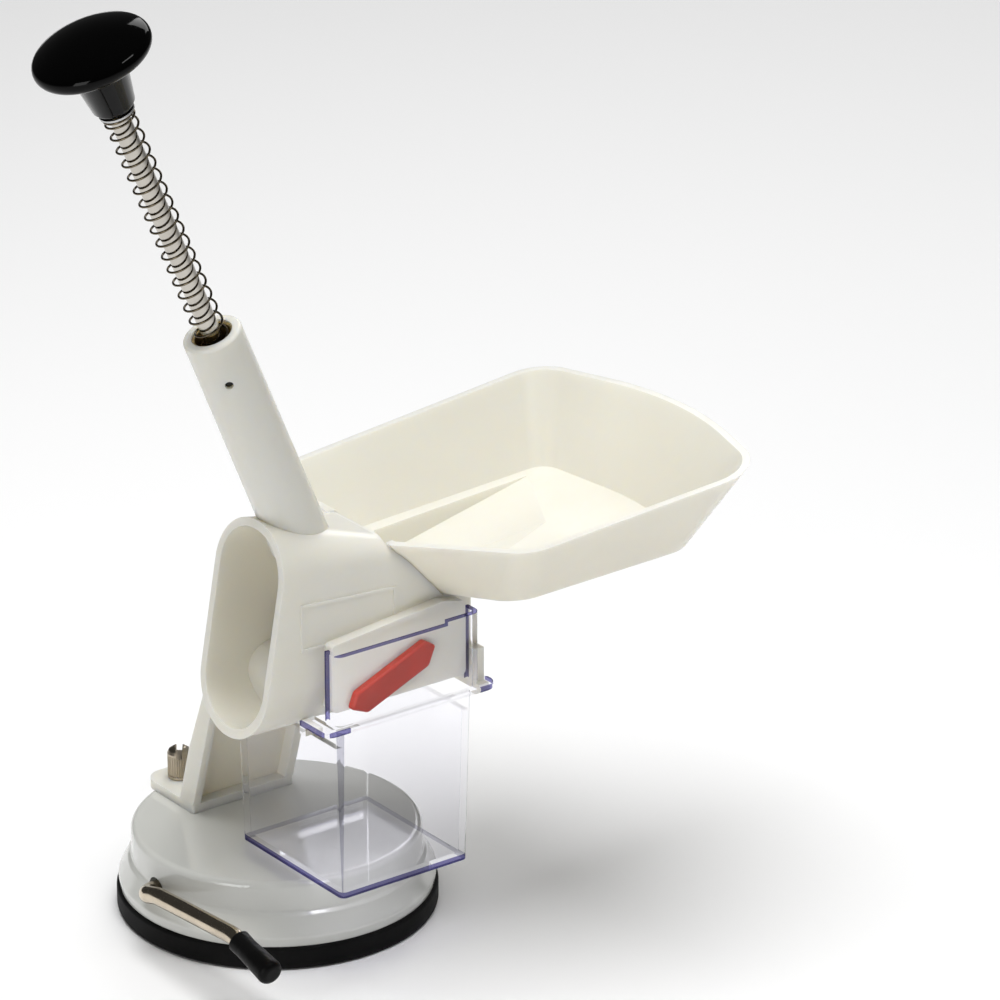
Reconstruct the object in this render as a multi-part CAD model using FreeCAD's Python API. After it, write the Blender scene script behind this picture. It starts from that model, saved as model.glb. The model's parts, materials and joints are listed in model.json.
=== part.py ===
import FreeCAD, Part
import math
import os

from FreeCAD import Vector as V

# Cherry pitter on a lever suction base. Millimetres, +Z up.
# Origin: centre of the suction base, on the table.
# +X runs from the fruit outlet towards the feed tray, -Y is the side of the pit box.

# Clearances
sit_gap = 0.2
part_gap = 0.3
run_gap = 0.05
slide_gap = 0.4

# Suction base
base_radius = 50.0
pad_rim_height = 7.4
pad_rim_inner_radius = 43.0
pad_centre_thickness = 6.2
pad_hollow_height = 3.2
shell_skirt_radius = 49.0
shell_skirt_bulge = 0.4
shell_drum_radius = 45.2
shell_shoulder_height = 17.4
shell_top = 27.0
shell_wall = 2.4
shell_edge_round = 2.0

# Lever with its eccentric
lever_rod_diameter = 5.5
lever_axle_height = 16.2
lever_arm_offset = 50.5
lever_elbow_radius = 5.0
lever_rise_y = -9.0
lever_rise_height = 2.8
lever_knee_y = -50.0
lever_knee_height = 5.9
lever_tip_y = -68.5
lever_tip_height = 1.4
lever_grip_length = 18.0
lever_grip_radius = 3.5
lever_grip_end_radius = 4.1
lever_axle_inner_end = 21.5
skirt_hole_diameter = 7.6
bearing_rib_thickness = 3.0
bearing_rib_width = 14.0
bearing_rib_positions = (-30.0, 17.0)
bearing_rib_depth = 5.4
cam_radius = 4.6
cam_throw = 1.2
cam_width = 5.0
cam_pin_diameter = 1.5
yoke_wall = 1.8
yoke_top = 1.7
yoke_length = 6.0
yoke_side_gap = 1.2
yoke_top_gap = 0.45
stem_plate_radius = 9.6
stem_plate_thickness = 1.5
clip_thickness = 0.8
clip_radius = 4.6

# Stand with its foot plate
stand_half_width = 19.0
stand_wall = 2.9
stand_web = 2.8
foot_plate_thickness = 3.0
foot_front = 18.0
foot_back = 46.0
foot_corner_radius = 6.0
stand_front_knee_y = 6.3
stand_front_knee_drop = 23.0
stand_front_top_y = 1.9
stand_front_top_drop = 10.0
stand_top_depth = 4.5
stand_rear_knee_y = 10.5
stand_rear_knee_drop = 19.0
stand_rear_hip_y = 19.6
stand_rear_hip_height = 19.1
stand_rear_foot_y = 25.3
stud_offset_x = 10.3
stud_y = 38.2
stud_diameter = 4.0
stud_hole_diameter = 4.8
stud_boss_width = 9.2
stud_boss_floor = 1.5
stud_embed = 9.0
nut_diameter = 7.6
nut_height = 8.4
nut_dome = 2.0
nut_slot_width = 2.0
nut_slot_depth = 3.0
nut_slot_angle = 53.0
nut_flutes = 30
nut_flute_radius = 0.32
nut_thread_depth = 5.6
stand_pad_height = 20.0
stand_pad_wall = 3.0
screw_diameter = 3.0
screw_head_radius = 2.9
screw_head_height = 1.8
screw_length = 8.0
screw_spacing = 22.0
lug_radius = 4.0
lug_length = 5.0
lug_height = 101.0

# Body: hollow chute with the plunger tube
mid_y = -34.8
body_half_width = 17.4
body_wall = 2.5
mouth_tilt = 10.1
mouth_x = -35.4
mouth_z = 113.1
mouth_half_height = 33.9
body_seam_x = 5.7
seam_top = 136.5
seam_bottom = 79.5
seam_corner_radius = 8.0
body_bottom_radius = 16.8
body_right = 36.3
skin = 2.4
ramp_x = -24.2
ramp_top = 97.6
ramp_radius = 10.0
ramp_crest_x = -8.0
ramp_crest_z = 100.0
step_x = 18.8
step_z = 104.3
shelf_z = 112.4
under_shelf_drop = 7.8
under_step_rise = 5.9
bottom_opening_half = 11.0

# Front boss with the seal slot
boss_left = -17.6
boss_right = 31.4
boss_bottom = 88.0
boss_top_left = 109.8
boss_top_peak = 113.9
boss_peak_x = 22.9
boss_depth = 3.8
boss_corner_radius = 1.6
frame_ridge = 0.4
frame_ridge_width = 0.9
frame_corners = ((-26.2, 109.0), (8.4, 106.9), (8.5, 121.5), (-26.0, 124.1))

# Plunger line, measured along the tube from its mouth
tilt = 22.5
tube_mouth_x = -43.9
tube_mouth_z = 208.7
tube_mouth_radius = 9.0
tube_root_radius = 9.35
tube_length = 79.0
tube_collar = 4.0
tube_bore_radius = 6.3
tube_mouth_round = 1.0
sleeve_recess = 0.9
sleeve_length = 15.5
sleeve_cup_radius = 5.5
sleeve_cup_depth = 9.0
sleeve_pin_depth = 13.4
sleeve_pin_radius = 1.3
sleeve_pin_angle = -122.0
sleeve_pin_recess = 1.4
rod_diameter = 6.0
rod_top = 92.0
rod_bottom = 61.0
tip_diameter = 4.4
tip_length = 11.0
tip_shank = 6.0
tip_point = 2.0
stop_clip_radius = 5.0
stop_clip_thickness = 0.8
stop_clip_groove = 0.6

# Return spring
spring_wire = 0.7
spring_radius = 4.55
spring_pitch = 4.84
spring_end_pitch = 1.2
washer_thickness = 0.6
washer_radius = 5.3

# Knob
knob_seat = 80.0
knob_foot_radius = 4.7
knob_foot_chamfer = 2.2
knob_stem_radius = 6.4
knob_neck_radius = 8.1
knob_neck_height = 12.6
knob_head_radius = 17.75
knob_rim_height = 20.4
knob_height = 26.9
insert_radius = 4.5
insert_length = 13.0

# Seal, across the plunger line
seal_depth = 123.8
seal_width = 26.0
seal_thickness = 5.4
seal_back_y = -19.6
seal_tab_width = 33.6
seal_tab_thickness = 8.4
seal_tab_depth = 2.4
seal_tab_bevel = 4.6
seal_pocket_headroom = 1.0
seal_slit = 0.6
pit_hole_radius = 7.0
seat_rise = 5.8
seat_cone_radius = 13.2
seat_cone_height = 11.0

# Pit box, hung on two rails under the body
box_left = -18.6
box_right = 28.3
box_front = -61.2
box_back = -8.3
box_bottom = 29.0
box_rim_z = 78.6
box_wall = 2.0
box_floor = 2.3
box_draft = 1.07
box_corner_radius = 2.0
box_flange = 1.7
box_flange_height = 2.0
box_flange_half = 9.0
ledge_z = 84.5
ledge_thickness = 1.5
ledge_front = -63.8
ear_left = -25.6
ear_left_back = -50.2
ear_left_corner = 4.0
ear_right = 38.3
ear_right_back = -57.4
ear_right_corner = 4.6
ear_tab_drop = 2.6
ear_tab_length = 3.0
ear_tab_width = 2.4
panel_wall = 1.6
panel_top = 108.5
panel_left = -19.6
panel_right = 33.4
panel_front = -61.2
panel_return_y = -54.6
panel_corner_radius = 2.8
panel_step = 1.3
panel_step_x = 21.1
hook_wall = 1.8
hook_half = 8.0
hook_arm_z = 80.2
ear_lug_height = 1.7
ear_lug_right = -21.0
ear_lug_front = -55.5
side_rib_left = 34.0
side_rib_right = 37.6
side_rib_front = -57.0
side_rib_top = 95.5
side_rib_toe = 2.4

# Feed tray
tray_wall = 2.4
tray_floor = 2.4
tray_left = 6.9
tray_floor_z = 113.26
tray_floor_slope = 3.0
tray_rim_z = 134.83
tray_rim_slope = 6.0
tray_rim = (
    (6.9, -51.6, 0.6), (32.5, -87.6, 14.0), (116.5, -93.3, 19.0),
    (131.8, -37.0, 105.0), (115.3, 18.0, 14.0), (6.9, 18.0, 6.0),
)
tray_bottom = (
    (23.9, -48.6, 0.5), (38.5, -72.4, 14.0), (106.0, -76.4, 12.0),
    (109.7, -37.0, 105.0), (105.4, 1.7, 9.0), (23.9, 1.7, 4.0),
)
doorway_right = 24.5
channel_left = 19.0
channel_right_far = (94.0, -4.5)
channel_right_near = (77.0, -36.0)
channel_near = (49.0, -47.0)
channel_fold = (44.0, -29.0)
channel_low_z = 107.2
channel_low_y = -20.0
channel_far_corner = (34.0, -5.5)
channel_throat_far = -24.4
channel_throat_near = -46.9
channel_side_lean = 0.3

tilt_sin = math.sin(math.radians(tilt))
tilt_cos = math.cos(math.radians(tilt))
near_y = mid_y - body_half_width
far_y = mid_y + body_half_width
inner_near_y = near_y + body_wall
inner_far_y = far_y - body_wall
plate_top = shell_top + foot_plate_thickness
rod_radius = rod_diameter / 2
lever_radius = lever_rod_diameter / 2
pad_face_y = far_y + lug_length
pad_low = lug_height - stand_pad_height / 2
pad_high = lug_height + stand_pad_height / 2
boss_front_y = near_y - boss_depth


# Small helpers

def polygon_face(points):
    return Part.Face(Part.makePolygon(points + [points[0]]))


def side_prism(outline, y_low, y_high):
    """Solid from an outline in X and Z, between two Y positions."""
    face = polygon_face([V(x, y_low, z) for x, z in outline])
    return face.extrude(V(0, y_high - y_low, 0))


def end_prism(outline, x_low, x_high):
    """Solid from an outline in Y and Z, between two X positions."""
    face = polygon_face([V(x_low, y, z) for y, z in outline])
    return face.extrude(V(x_high - x_low, 0, 0))


def block(x_low, x_high, y_low, y_high, z_low, z_high):
    return Part.makeBox(x_high - x_low, y_high - y_low, z_high - z_low, V(x_low, y_low, z_low))


def disc(radius, z_low, z_high, centre=(0.0, 0.0)):
    return Part.makeCylinder(radius, z_high - z_low, V(centre[0], centre[1], z_low))


def rod_x(radius, x_low, x_high, z):
    """Cylinder along X at Y zero."""
    return Part.makeCylinder(radius, x_high - x_low, V(x_low, 0, z), V(1, 0, 0))


def rounded_edges(corners, closed):
    """Lines and arcs through corners given as a point and a radius."""
    count = len(corners)
    starts = []
    middles = []
    ends = []
    for i, (here, radius) in enumerate(corners):
        is_end = not closed and i in (0, count - 1)
        if radius == 0 or is_end:
            starts.append(here)
            middles.append(None)
            ends.append(here)
            continue
        before = corners[i - 1][0] - here
        after = corners[(i + 1) % count][0] - here
        before.normalize()
        after.normalize()
        half = before.getAngle(after) / 2
        reach = radius / math.tan(half)
        bisector = before + after
        bisector.normalize()
        starts.append(here + before * reach)
        middles.append(here + bisector * (radius / math.sin(half) - radius))
        ends.append(here + after * reach)
    edges = []
    for i in range(count):
        if middles[i] is not None:
            edges.append(Part.Arc(starts[i], middles[i], ends[i]).toShape())
        if i == count - 1 and not closed:
            break
        following = starts[(i + 1) % count]
        if ends[i].distanceToPoint(following) > 1e-6:
            edges.append(Part.makeLine(ends[i], following))
    return edges


def rounded_wire(corners):
    """Closed wire in the XY plane from corners of x, y and radius."""
    return Part.Wire(rounded_edges([(V(x, y, 0), radius) for x, y, radius in corners], True))


def rounded_side_prism(corners, y_low, y_high):
    """Solid from rounded corners in X and Z, between two Y positions."""
    wire = Part.Wire(rounded_edges([(V(x, y_low, z), radius) for x, z, radius in corners], True))
    return Part.Face(wire).extrude(V(0, y_high - y_low, 0))


def rounded_plate(corners, z_low, z_high):
    face = Part.Face(rounded_wire(corners))
    face.translate(V(0, 0, z_low))
    return face.extrude(V(0, 0, z_high - z_low))


def turned(corners):
    """Solid turned about Z from corners of radius, height and rounding."""
    wire = Part.Wire(rounded_edges([(V(r, 0, z), radius) for r, z, radius in corners], True))
    return Part.Face(wire).revolve(V(0, 0, 0), V(0, 0, 1), 360)


def inset_corners(corners, inset):
    """The corners moved inwards, for an outline that runs anticlockwise."""
    count = len(corners)
    result = []
    for i, (x, y, radius) in enumerate(corners):
        x0, y0 = corners[i - 1][:2]
        x1, y1 = corners[(i + 1) % count][:2]
        a = V(x - x0, y - y0, 0)
        b = V(x1 - x, y1 - y, 0)
        a.normalize()
        b.normalize()
        normal_a = V(-a.y, a.x, 0)
        normal_b = V(-b.y, b.x, 0)
        shift = (normal_a + normal_b) * (inset / (1 + normal_a.dot(normal_b)))
        result.append((x + shift.x, y + shift.y, max(radius - inset, 0.3)))
    return result


def on_plunger_line(shape):
    """A shape built with its Z along the plunger and zero at the tube mouth."""
    result = shape.copy()
    result.rotate(V(0, 0, 0), V(0, 1, 0), -tilt)
    result.translate(V(tube_mouth_x, mid_y, tube_mouth_z))
    return result


def at_seal(shape):
    """A shape built about the seal's middle, with X across the plunger."""
    return on_plunger_line(shape.translated(V(0, 0, -seal_depth)))


def axis_point(depth, across=0.0):
    """X and Z of a point on the plunger line, and across it."""
    x = tube_mouth_x + depth * tilt_sin + across * tilt_cos
    z = tube_mouth_z - depth * tilt_cos + across * tilt_sin
    return x, z


def loft(first, second):
    return Part.makeLoft([first, second], True, True)


def swept(path, radius):
    first = path.Edges[0]
    ring = Part.Wire([Part.makeCircle(radius, first.Vertexes[0].Point, first.tangentAt(first.FirstParameter))])
    return path.makePipeShell([ring], True, False)


def trimmed(solid, point, normal, offset=0.0):
    """Cuts away what lies more than the offset behind a plane; the normal points to the kept side."""
    size = 600.0
    tool = Part.makeBox(size, size, size, V(-size / 2, -size / 2, 0))
    outward = normal * -1.0
    outward.normalize()
    tool.Placement = FreeCAD.Placement(point + outward * offset, FreeCAD.Rotation(V(0, 0, 1), outward))
    return solid.cut(tool)


# Suction base

def suction_pad():
    low = pad_hollow_height
    top = pad_rim_height
    centre = pad_centre_thickness
    return turned([
        (0, low, 0), (36.5, low, 4.0), (45.6, 0, 1.2), (base_radius, 0, 1.2), (base_radius, top, 1.2),
        (pad_rim_inner_radius, top, 0.5), (pad_rim_inner_radius - top + centre, centre, 0.5), (0, centre, 0),
    ])


def shell_outline(inset, low):
    skirt = shell_skirt_radius - inset
    drum = shell_drum_radius - inset
    top = shell_top - inset
    shoulder = shell_shoulder_height
    bulge = skirt + shell_skirt_bulge
    return [
        (0, low, 0), (skirt, low, 0), (bulge, 10.4, 2.0), (drum + 1.2, shoulder - 1.2, 1.5),
        (drum, shoulder, 1.0), (drum, top, max(shell_edge_round - inset, 0)), (0, top, 0),
    ]


def base_shell():
    shell = turned(shell_outline(0, pad_rim_height)).cut(turned(shell_outline(shell_wall, pad_rim_height - 1)))
    inside_top = shell_top - shell_wall + 0.1
    half = bearing_rib_width / 2
    for x in bearing_rib_positions:
        rib_low = lever_axle_height - bearing_rib_depth
        shell = shell.fuse(block(x, x + bearing_rib_thickness, -half, half, rib_low, inside_top))
    half = stud_boss_width / 2
    wall_middle = turned(shell_outline(shell_wall / 2, pad_rim_height))
    for x in (-stud_offset_x, stud_offset_x):
        boss_low = shell_top - stud_embed - stud_boss_floor
        boss = block(x - half, x + half, stud_y - half, shell_drum_radius, boss_low, inside_top)
        stud = disc(stud_diameter / 2, shell_top - stud_embed, shell_top + 1, (x, stud_y))
        shell = shell.fuse(boss.common(wall_middle)).cut(stud)
    bore = rod_x(lever_radius + run_gap, bearing_rib_positions[0] - 1, shell_drum_radius - 8, lever_axle_height)
    hole = rod_x(skirt_hole_diameter / 2, -base_radius - 5, bearing_rib_positions[0] - 1, lever_axle_height)
    return shell.cut(bore).cut(hole).removeSplitter()


def lever_corners():
    """Corners of the bent lever rod: axle end, elbow, rise, knee and tip."""
    x = -lever_arm_offset
    z = lever_axle_height
    return [
        (V(lever_axle_inner_end, 0, z), 0), (V(x, 0, z), lever_elbow_radius),
        (V(x, lever_rise_y, z + lever_rise_height), 14.0),
        (V(x, lever_knee_y, z + lever_knee_height), 10.0),
        (V(x, lever_tip_y, z + lever_tip_height), 0),
    ]


def lever_parts():
    corners = lever_corners()
    z = lever_axle_height
    rod = swept(Part.Wire(rounded_edges(corners, False)), lever_radius)
    pin_hole = disc(cam_pin_diameter / 2, z - 10, z + 10)
    groove_x = bearing_rib_positions[1] + bearing_rib_thickness + part_gap
    neck = rod_x(lever_radius - 0.5, groove_x, groove_x + clip_thickness, z)
    groove = rod_x(lever_radius + 1, groove_x, groove_x + clip_thickness, z).cut(neck)
    clip = rod_x(clip_radius, groove_x, groove_x + clip_thickness, z).cut(neck)
    clip = clip.cut(block(groove_x - 1, groove_x + 2, -1.6, 1.6, z, z + clip_radius + 1))
    half = cam_width / 2
    cam = rod_x(cam_radius, -half, half, z - cam_throw).cut(rod_x(lever_radius, -half, half, z)).cut(pin_hole)
    pin = disc(cam_pin_diameter / 2, z - cam_throw - cam_radius + 0.6, z - cam_throw + cam_radius - 0.6)
    tip = corners[-1][0]
    back = corners[-2][0] - tip
    back.normalize()
    grip_end = tip - back * 1.8
    neck_length = 4.0
    body_length = lever_grip_length - neck_length
    neck_start = grip_end + back * body_length
    main = Part.makeCone(lever_grip_end_radius, lever_grip_radius, body_length, grip_end, back)
    collar = Part.makeCone(lever_grip_radius, lever_radius + 0.9, neck_length, neck_start, back)
    grip = main.fuse(collar).removeSplitter()
    rim = [e for e in grip.Edges if e.isClosed() and (e.BoundBox.Center - grip_end).Length < 0.5]
    grip = grip.makeFillet(2.0, rim)
    hollow = Part.makeCylinder(lever_radius, lever_grip_length, tip, back)
    return {
        "lever_rod": rod.cut(pin_hole).cut(groove),
        "lever_grip": grip.cut(hollow),
        "axle_clip": clip,
        "eccentric_cam": cam,
        "cam_pin": pin,
    }


def lift_stem():
    """Yoke round the eccentric, on a plate that is bonded to the pad."""
    half = yoke_length / 2
    inner = cam_radius + cam_throw + yoke_side_gap
    outer = inner + yoke_wall
    bridge_low = lever_axle_height + cam_radius - cam_throw + yoke_top_gap
    plate_high = pad_centre_thickness + stem_plate_thickness
    plate = disc(stem_plate_radius, pad_centre_thickness, plate_high)
    frame = block(-half, half, -outer, outer, pad_centre_thickness, bridge_low + yoke_top)
    window = block(-half, half, -inner, inner, plate_high, bridge_low)
    return plate.fuse(frame.cut(window)).removeSplitter()


def foot_studs():
    top = plate_top + nut_thread_depth - part_gap
    studs = []
    for x in (-stud_offset_x, stud_offset_x):
        studs.append(disc(stud_diameter / 2, shell_top - stud_embed, top, (x, stud_y)))
    return Part.makeCompound(studs)


def knurled_nut():
    radius = nut_diameter / 2
    top = nut_height + nut_dome
    nut = turned([
        (0, 0, 0), (radius, 0, 0.4), (radius, nut_height, 0.3), (radius * 0.88, nut_height + nut_dome * 0.5, 0.6),
        (radius * 0.5, top, 1.0), (0, top, 0),
    ])
    flutes = []
    for i in range(nut_flutes):
        flute = disc(nut_flute_radius, 1.0, nut_height - 0.6, (radius, 0))
        flute.rotate(V(0, 0, 0), V(0, 0, 1), 360.0 * i / nut_flutes)
        flutes.append(flute)
    half = nut_slot_width / 2
    slot = block(-radius - 1, radius + 1, -half, half, top - nut_slot_depth, top + 1)
    slot.rotate(V(0, 0, 0), V(0, 0, 1), nut_slot_angle)
    thread = disc(stud_diameter / 2, -1, nut_thread_depth)
    return nut.cut(Part.makeCompound(flutes)).cut(slot).cut(thread)


def knurled_nuts():
    nut = knurled_nut()
    return Part.makeCompound([nut.translated(V(x, stud_y, plate_top)) for x in (-stud_offset_x, stud_offset_x)])


# Stand

stand_front = (
    (foot_front, plate_top), (stand_front_knee_y, pad_low - stand_front_knee_drop),
    (stand_front_top_y, pad_low - stand_front_top_drop),
)
stand_rear = (
    (pad_face_y + stand_top_depth, pad_high), (stand_rear_knee_y, pad_low - stand_rear_knee_drop),
    (stand_rear_hip_y, plate_top + stand_rear_hip_height), (stand_rear_foot_y, plate_top),
)


def support_stand():
    half = stand_half_width
    inside = half - stand_wall
    plate = rounded_plate([
        (-half, foot_front, 0.8), (half, foot_front, 0.8),
        (half, foot_back, foot_corner_radius), (-half, foot_back, foot_corner_radius),
    ], shell_top, plate_top)
    outline = list(stand_front) + [(pad_face_y, pad_low - 1), (pad_face_y, pad_high)] + list(stand_rear)
    column = end_prism(outline, -half, half)
    reach = 8.0
    web_top = stand_rear[0][0] + (stand_rear[1][0] - stand_rear[0][0]) * (pad_high - pad_low) / (pad_high - stand_rear[1][1])
    hollow = [(y - reach, z) for y, z in stand_front]
    hollow += [(pad_face_y - reach, pad_low), (web_top - stand_web, pad_low)]
    hollow += [(y - stand_web, z) for y, z in stand_rear[1:]]
    column = column.cut(end_prism(hollow, -inside, inside))
    pocket_y = pad_face_y + stand_pad_wall
    column = column.cut(block(-inside, inside, pocket_y, pocket_y + 30, pad_low, pad_high + 1))
    stand = plate.fuse(column)
    for x in (-stud_offset_x, stud_offset_x):
        stand = stand.cut(disc(stud_hole_diameter / 2, shell_top - 1, plate_top + 1, (x, stud_y)))
    for x in (-screw_spacing / 2, screw_spacing / 2):
        place = V(x, pad_face_y - 1, lug_height)
        stand = stand.cut(Part.makeCylinder(screw_diameter / 2 + sit_gap, stand_pad_wall + 2, place, V(0, 1, 0)))
    return stand.removeSplitter()


def screw_shank(x):
    head_y = pad_face_y + stand_pad_wall
    return Part.makeCylinder(screw_diameter / 2, screw_length, V(x, head_y, lug_height), V(0, -1, 0))


def stand_screws():
    screws = []
    head_y = pad_face_y + stand_pad_wall
    arm = 1.6
    blade = 0.4
    for x in (-screw_spacing / 2, screw_spacing / 2):
        head = Part.makeCylinder(screw_head_radius, screw_head_height, V(x, head_y, lug_height), V(0, 1, 0))
        rim = [e for e in head.Edges if e.isClosed() and e.BoundBox.Center.y > head_y + 1]
        head = head.makeFillet(0.7, rim)
        low = head_y + screw_head_height - 0.9
        cross = block(x - arm, x + arm, low, low + 2, lug_height - blade, lug_height + blade)
        cross = cross.fuse(block(x - blade, x + blade, low, low + 2, lug_height - arm, lug_height + arm))
        screws.append(screw_shank(x).fuse(head).cut(cross))
    return Part.makeCompound(screws)


# Body

def section(inset, low, high, top_radius, bottom_radius):
    """Closed rounded section, with X across and Y up."""
    half = body_half_width - inset
    return rounded_wire([
        (-half, low + inset, bottom_radius), (half, low + inset, bottom_radius),
        (half, high - inset, top_radius), (-half, high - inset, top_radius),
    ])


def stood_up(wire, angle, offset):
    """Turns a section upright across Y, tilts it about Y and moves it."""
    result = wire.copy()
    result.rotate(V(0, 0, 0), V(0, 0, 1), 90)
    result.rotate(V(0, 0, 0), V(0, 1, 0), 90)
    result.rotate(V(0, 0, 0), V(0, 1, 0), angle)
    result.translate(offset)
    return result


def seam_section(inset, x):
    wire = section(inset, seam_bottom, seam_top, seam_corner_radius - inset / 2, body_bottom_radius - inset)
    return stood_up(wire, 0, V(x, mid_y, 0))


def body_volume(inset, overrun, right):
    """The chute from its tilted mouth to the seam, and straight on to the right."""
    mouth_round = body_half_width - inset - 0.2
    mouth = section(inset, -mouth_half_height, mouth_half_height, mouth_round, mouth_round)
    angle = math.radians(mouth_tilt)
    outward = V(-math.cos(angle), 0, math.sin(angle))
    mouth = stood_up(mouth, mouth_tilt, V(mouth_x, mid_y, mouth_z) + outward * overrun)
    straight = Part.Face(seam_section(inset, body_seam_x)).extrude(V(right - body_seam_x, 0, 0))
    return loft(mouth, seam_section(inset, body_seam_x)).fuse(straight)


def sleeve_pin_shape(outer):
    pin = Part.makeCylinder(sleeve_pin_radius, outer - rod_radius - 1, V(rod_radius + 1, 0, 0), V(1, 0, 0))
    pin.rotate(V(0, 0, 0), V(0, 0, 1), sleeve_pin_angle)
    return pin.translated(V(0, 0, -sleeve_pin_depth))


def front_boss():
    """Raised block that carries the seal slot, with the bare frame above it."""
    corners = [
        (boss_left, boss_bottom, boss_corner_radius), (boss_right, boss_bottom, boss_corner_radius),
        (boss_right, boss_top_peak - 2.0, boss_corner_radius), (boss_peak_x, boss_top_peak, 6.0),
        (boss_left, boss_top_left, boss_corner_radius),
    ]
    boss = rounded_side_prism(corners, boss_front_y, near_y + 8)
    ring = side_prism(frame_corners, near_y - frame_ridge, near_y + 1)
    middle = inset_corners([(x, z, 0) for x, z in frame_corners], frame_ridge_width)
    ring = ring.cut(side_prism([(x, z) for x, z, _ in middle], near_y - 2, near_y + 2))
    return boss.fuse(ring)


def box_hooks():
    """What the pit box hangs on: a hook behind it and a lug under each ear."""
    flange_y = box_back + box_draft + box_flange
    hook_front = flange_y + slide_gap
    hook_back = hook_front + hook_wall
    lip_top = box_rim_z - box_flange_height - sit_gap
    lip_low = lip_top - hook_wall
    arm_top = hook_arm_z + hook_wall
    root_y = mid_y + bottom_opening_half + 0.6
    root_z = hook_arm_z + 10
    arm = end_prism([
        (root_y, hook_arm_z), (hook_back, hook_arm_z), (hook_back, arm_top), (far_y, root_z), (root_y, root_z),
    ], -hook_half, hook_half)
    arm = arm.fuse(block(-hook_half, hook_half, hook_front, hook_back, lip_low, arm_top))
    arm = arm.fuse(block(-hook_half, hook_half, flange_y - box_flange + slide_gap, hook_back, lip_low, lip_top))
    lug_top = ledge_z - sit_gap
    lug_low = lug_top - ear_lug_height
    lug_left = ear_left + ear_tab_width + part_gap
    left = block(lug_left, ear_lug_right, ear_lug_front, mid_y - 10, lug_low, lug_top)
    rib = block(side_rib_left, side_rib_right, side_rib_front, mid_y - 12, lug_low, side_rib_top)
    toe = block(side_rib_left, side_rib_right, side_rib_front - side_rib_toe, side_rib_front, lug_low, lug_top)
    return arm.fuse(left).fuse(rib).fuse(toe)


def passage_floor():
    """Corners of the space above the passage floor, as X, Z and radius."""
    seat = axis_point(seal_depth - seat_rise)
    seat_right = axis_point(seal_depth - seat_rise, seal_width / 2)
    return [
        (-70, 60, 0), (ramp_x, 60, 0), (ramp_x, ramp_top, ramp_radius), (ramp_crest_x, ramp_crest_z, 0),
        (seat[0], seat[1], 0), (seat_right[0], seat_right[1], 0), (step_x, step_z, 0), (step_x, shelf_z, 0),
        (60, shelf_z, 0), (60, 170, 0), (-70, 170, 0),
    ]


def under_cavities(inner):
    """Hollows below the ramp and below the seat block, open at the bottom towards the box."""
    drop = seal_thickness / 2 + skin
    left = axis_point(seal_depth + drop, -seal_width / 2 - skin)
    right = axis_point(seal_depth + drop, seal_width / 2 + skin)
    wall_x = left[0] - skin
    low = seam_bottom - 5
    ramp = rounded_side_prism([
        (ramp_x + skin, low, 0), (wall_x, low, 0), (wall_x, ramp_top - skin * 2.2, 0),
        (ramp_x + skin, ramp_top - skin, ramp_radius - skin),
    ], near_y, far_y)
    under_seat = side_prism([
        (left[0], low), (body_right - body_wall, low), (body_right - body_wall, shelf_z - under_shelf_drop),
        (right[0] + skin, right[1] + under_step_rise), right, left,
    ], near_y, far_y)
    high = seam_bottom + body_wall + 4
    half = bottom_opening_half
    openings = block(ramp_x + skin, wall_x, mid_y - half, mid_y + half, low, high)
    openings = openings.fuse(block(left[0], body_right - body_wall, mid_y - half, mid_y + half, low, high))
    return inner.common(ramp.fuse(under_seat)).fuse(openings)


def plunger_tube():
    shaft = Part.makeCone(tube_root_radius, tube_mouth_radius, tube_length, V(0, 0, -tube_length))
    rim = [e for e in shaft.Edges if e.isClosed() and e.BoundBox.Center.z > -1]
    return on_plunger_line(shaft.makeFillet(tube_mouth_round, rim))


def pitter_body():
    outer = body_volume(0, 0, body_right)
    inner = body_volume(body_wall, 3.0, body_right - body_wall)
    outer = outer.fuse(box_hooks().cut(inner)).fuse(front_boss())
    for x in (-screw_spacing / 2, screw_spacing / 2):
        lug = Part.makeCylinder(lug_radius, lug_length + 1, V(x, far_y - 1, lug_height), V(0, 1, 0))
        outer = outer.fuse(lug)
    passage = inner.common(rounded_side_prism(passage_floor(), near_y, far_y))
    body = outer.cut(passage).cut(under_cavities(inner))
    body = body.cut(tray_solid(-part_gap, -sit_gap, 40.0)).cut(channel(tray_floor + part_gap, 30.0))
    body = body.fuse(plunger_tube())
    bore = disc(tube_bore_radius, tube_collar - tube_length, 1)
    guide = disc(rod_radius + run_gap, -tube_length - 9, 0)
    body = body.cut(on_plunger_line(bore)).cut(on_plunger_line(guide.fuse(sleeve_pin_shape(tube_mouth_radius + 5))))
    half = seal_width / 2 + sit_gap
    low = -seal_thickness / 2 - sit_gap
    high = seal_thickness / 2 + seal_pocket_headroom
    pocket = block(-half, half, boss_front_y - 5 - mid_y, seal_back_y + part_gap - mid_y, low, high)
    hole = disc(pit_hole_radius, -12, seat_rise + 1)
    cone_low = seat_rise - 3.0
    cone = Part.makeCone(pit_hole_radius, seat_cone_radius, seat_cone_height, V(0, 0, cone_low))
    body = body.cut(at_seal(pocket)).cut(at_seal(hole)).cut(at_seal(cone))
    for x in (-screw_spacing / 2, screw_spacing / 2):
        body = body.cut(screw_shank(x))
    return body.removeSplitter()


# Parts on the plunger line

def guide_sleeve():
    low = -sleeve_recess - sleeve_length
    sleeve = disc(tube_bore_radius, low, -sleeve_recess)
    cup = disc(sleeve_cup_radius, -sleeve_recess - sleeve_cup_depth, 1)
    bore = disc(rod_radius + run_gap, low - 1, 1)
    return on_plunger_line(sleeve.cut(cup).cut(bore).cut(sleeve_pin_shape(tube_mouth_radius)))


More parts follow.
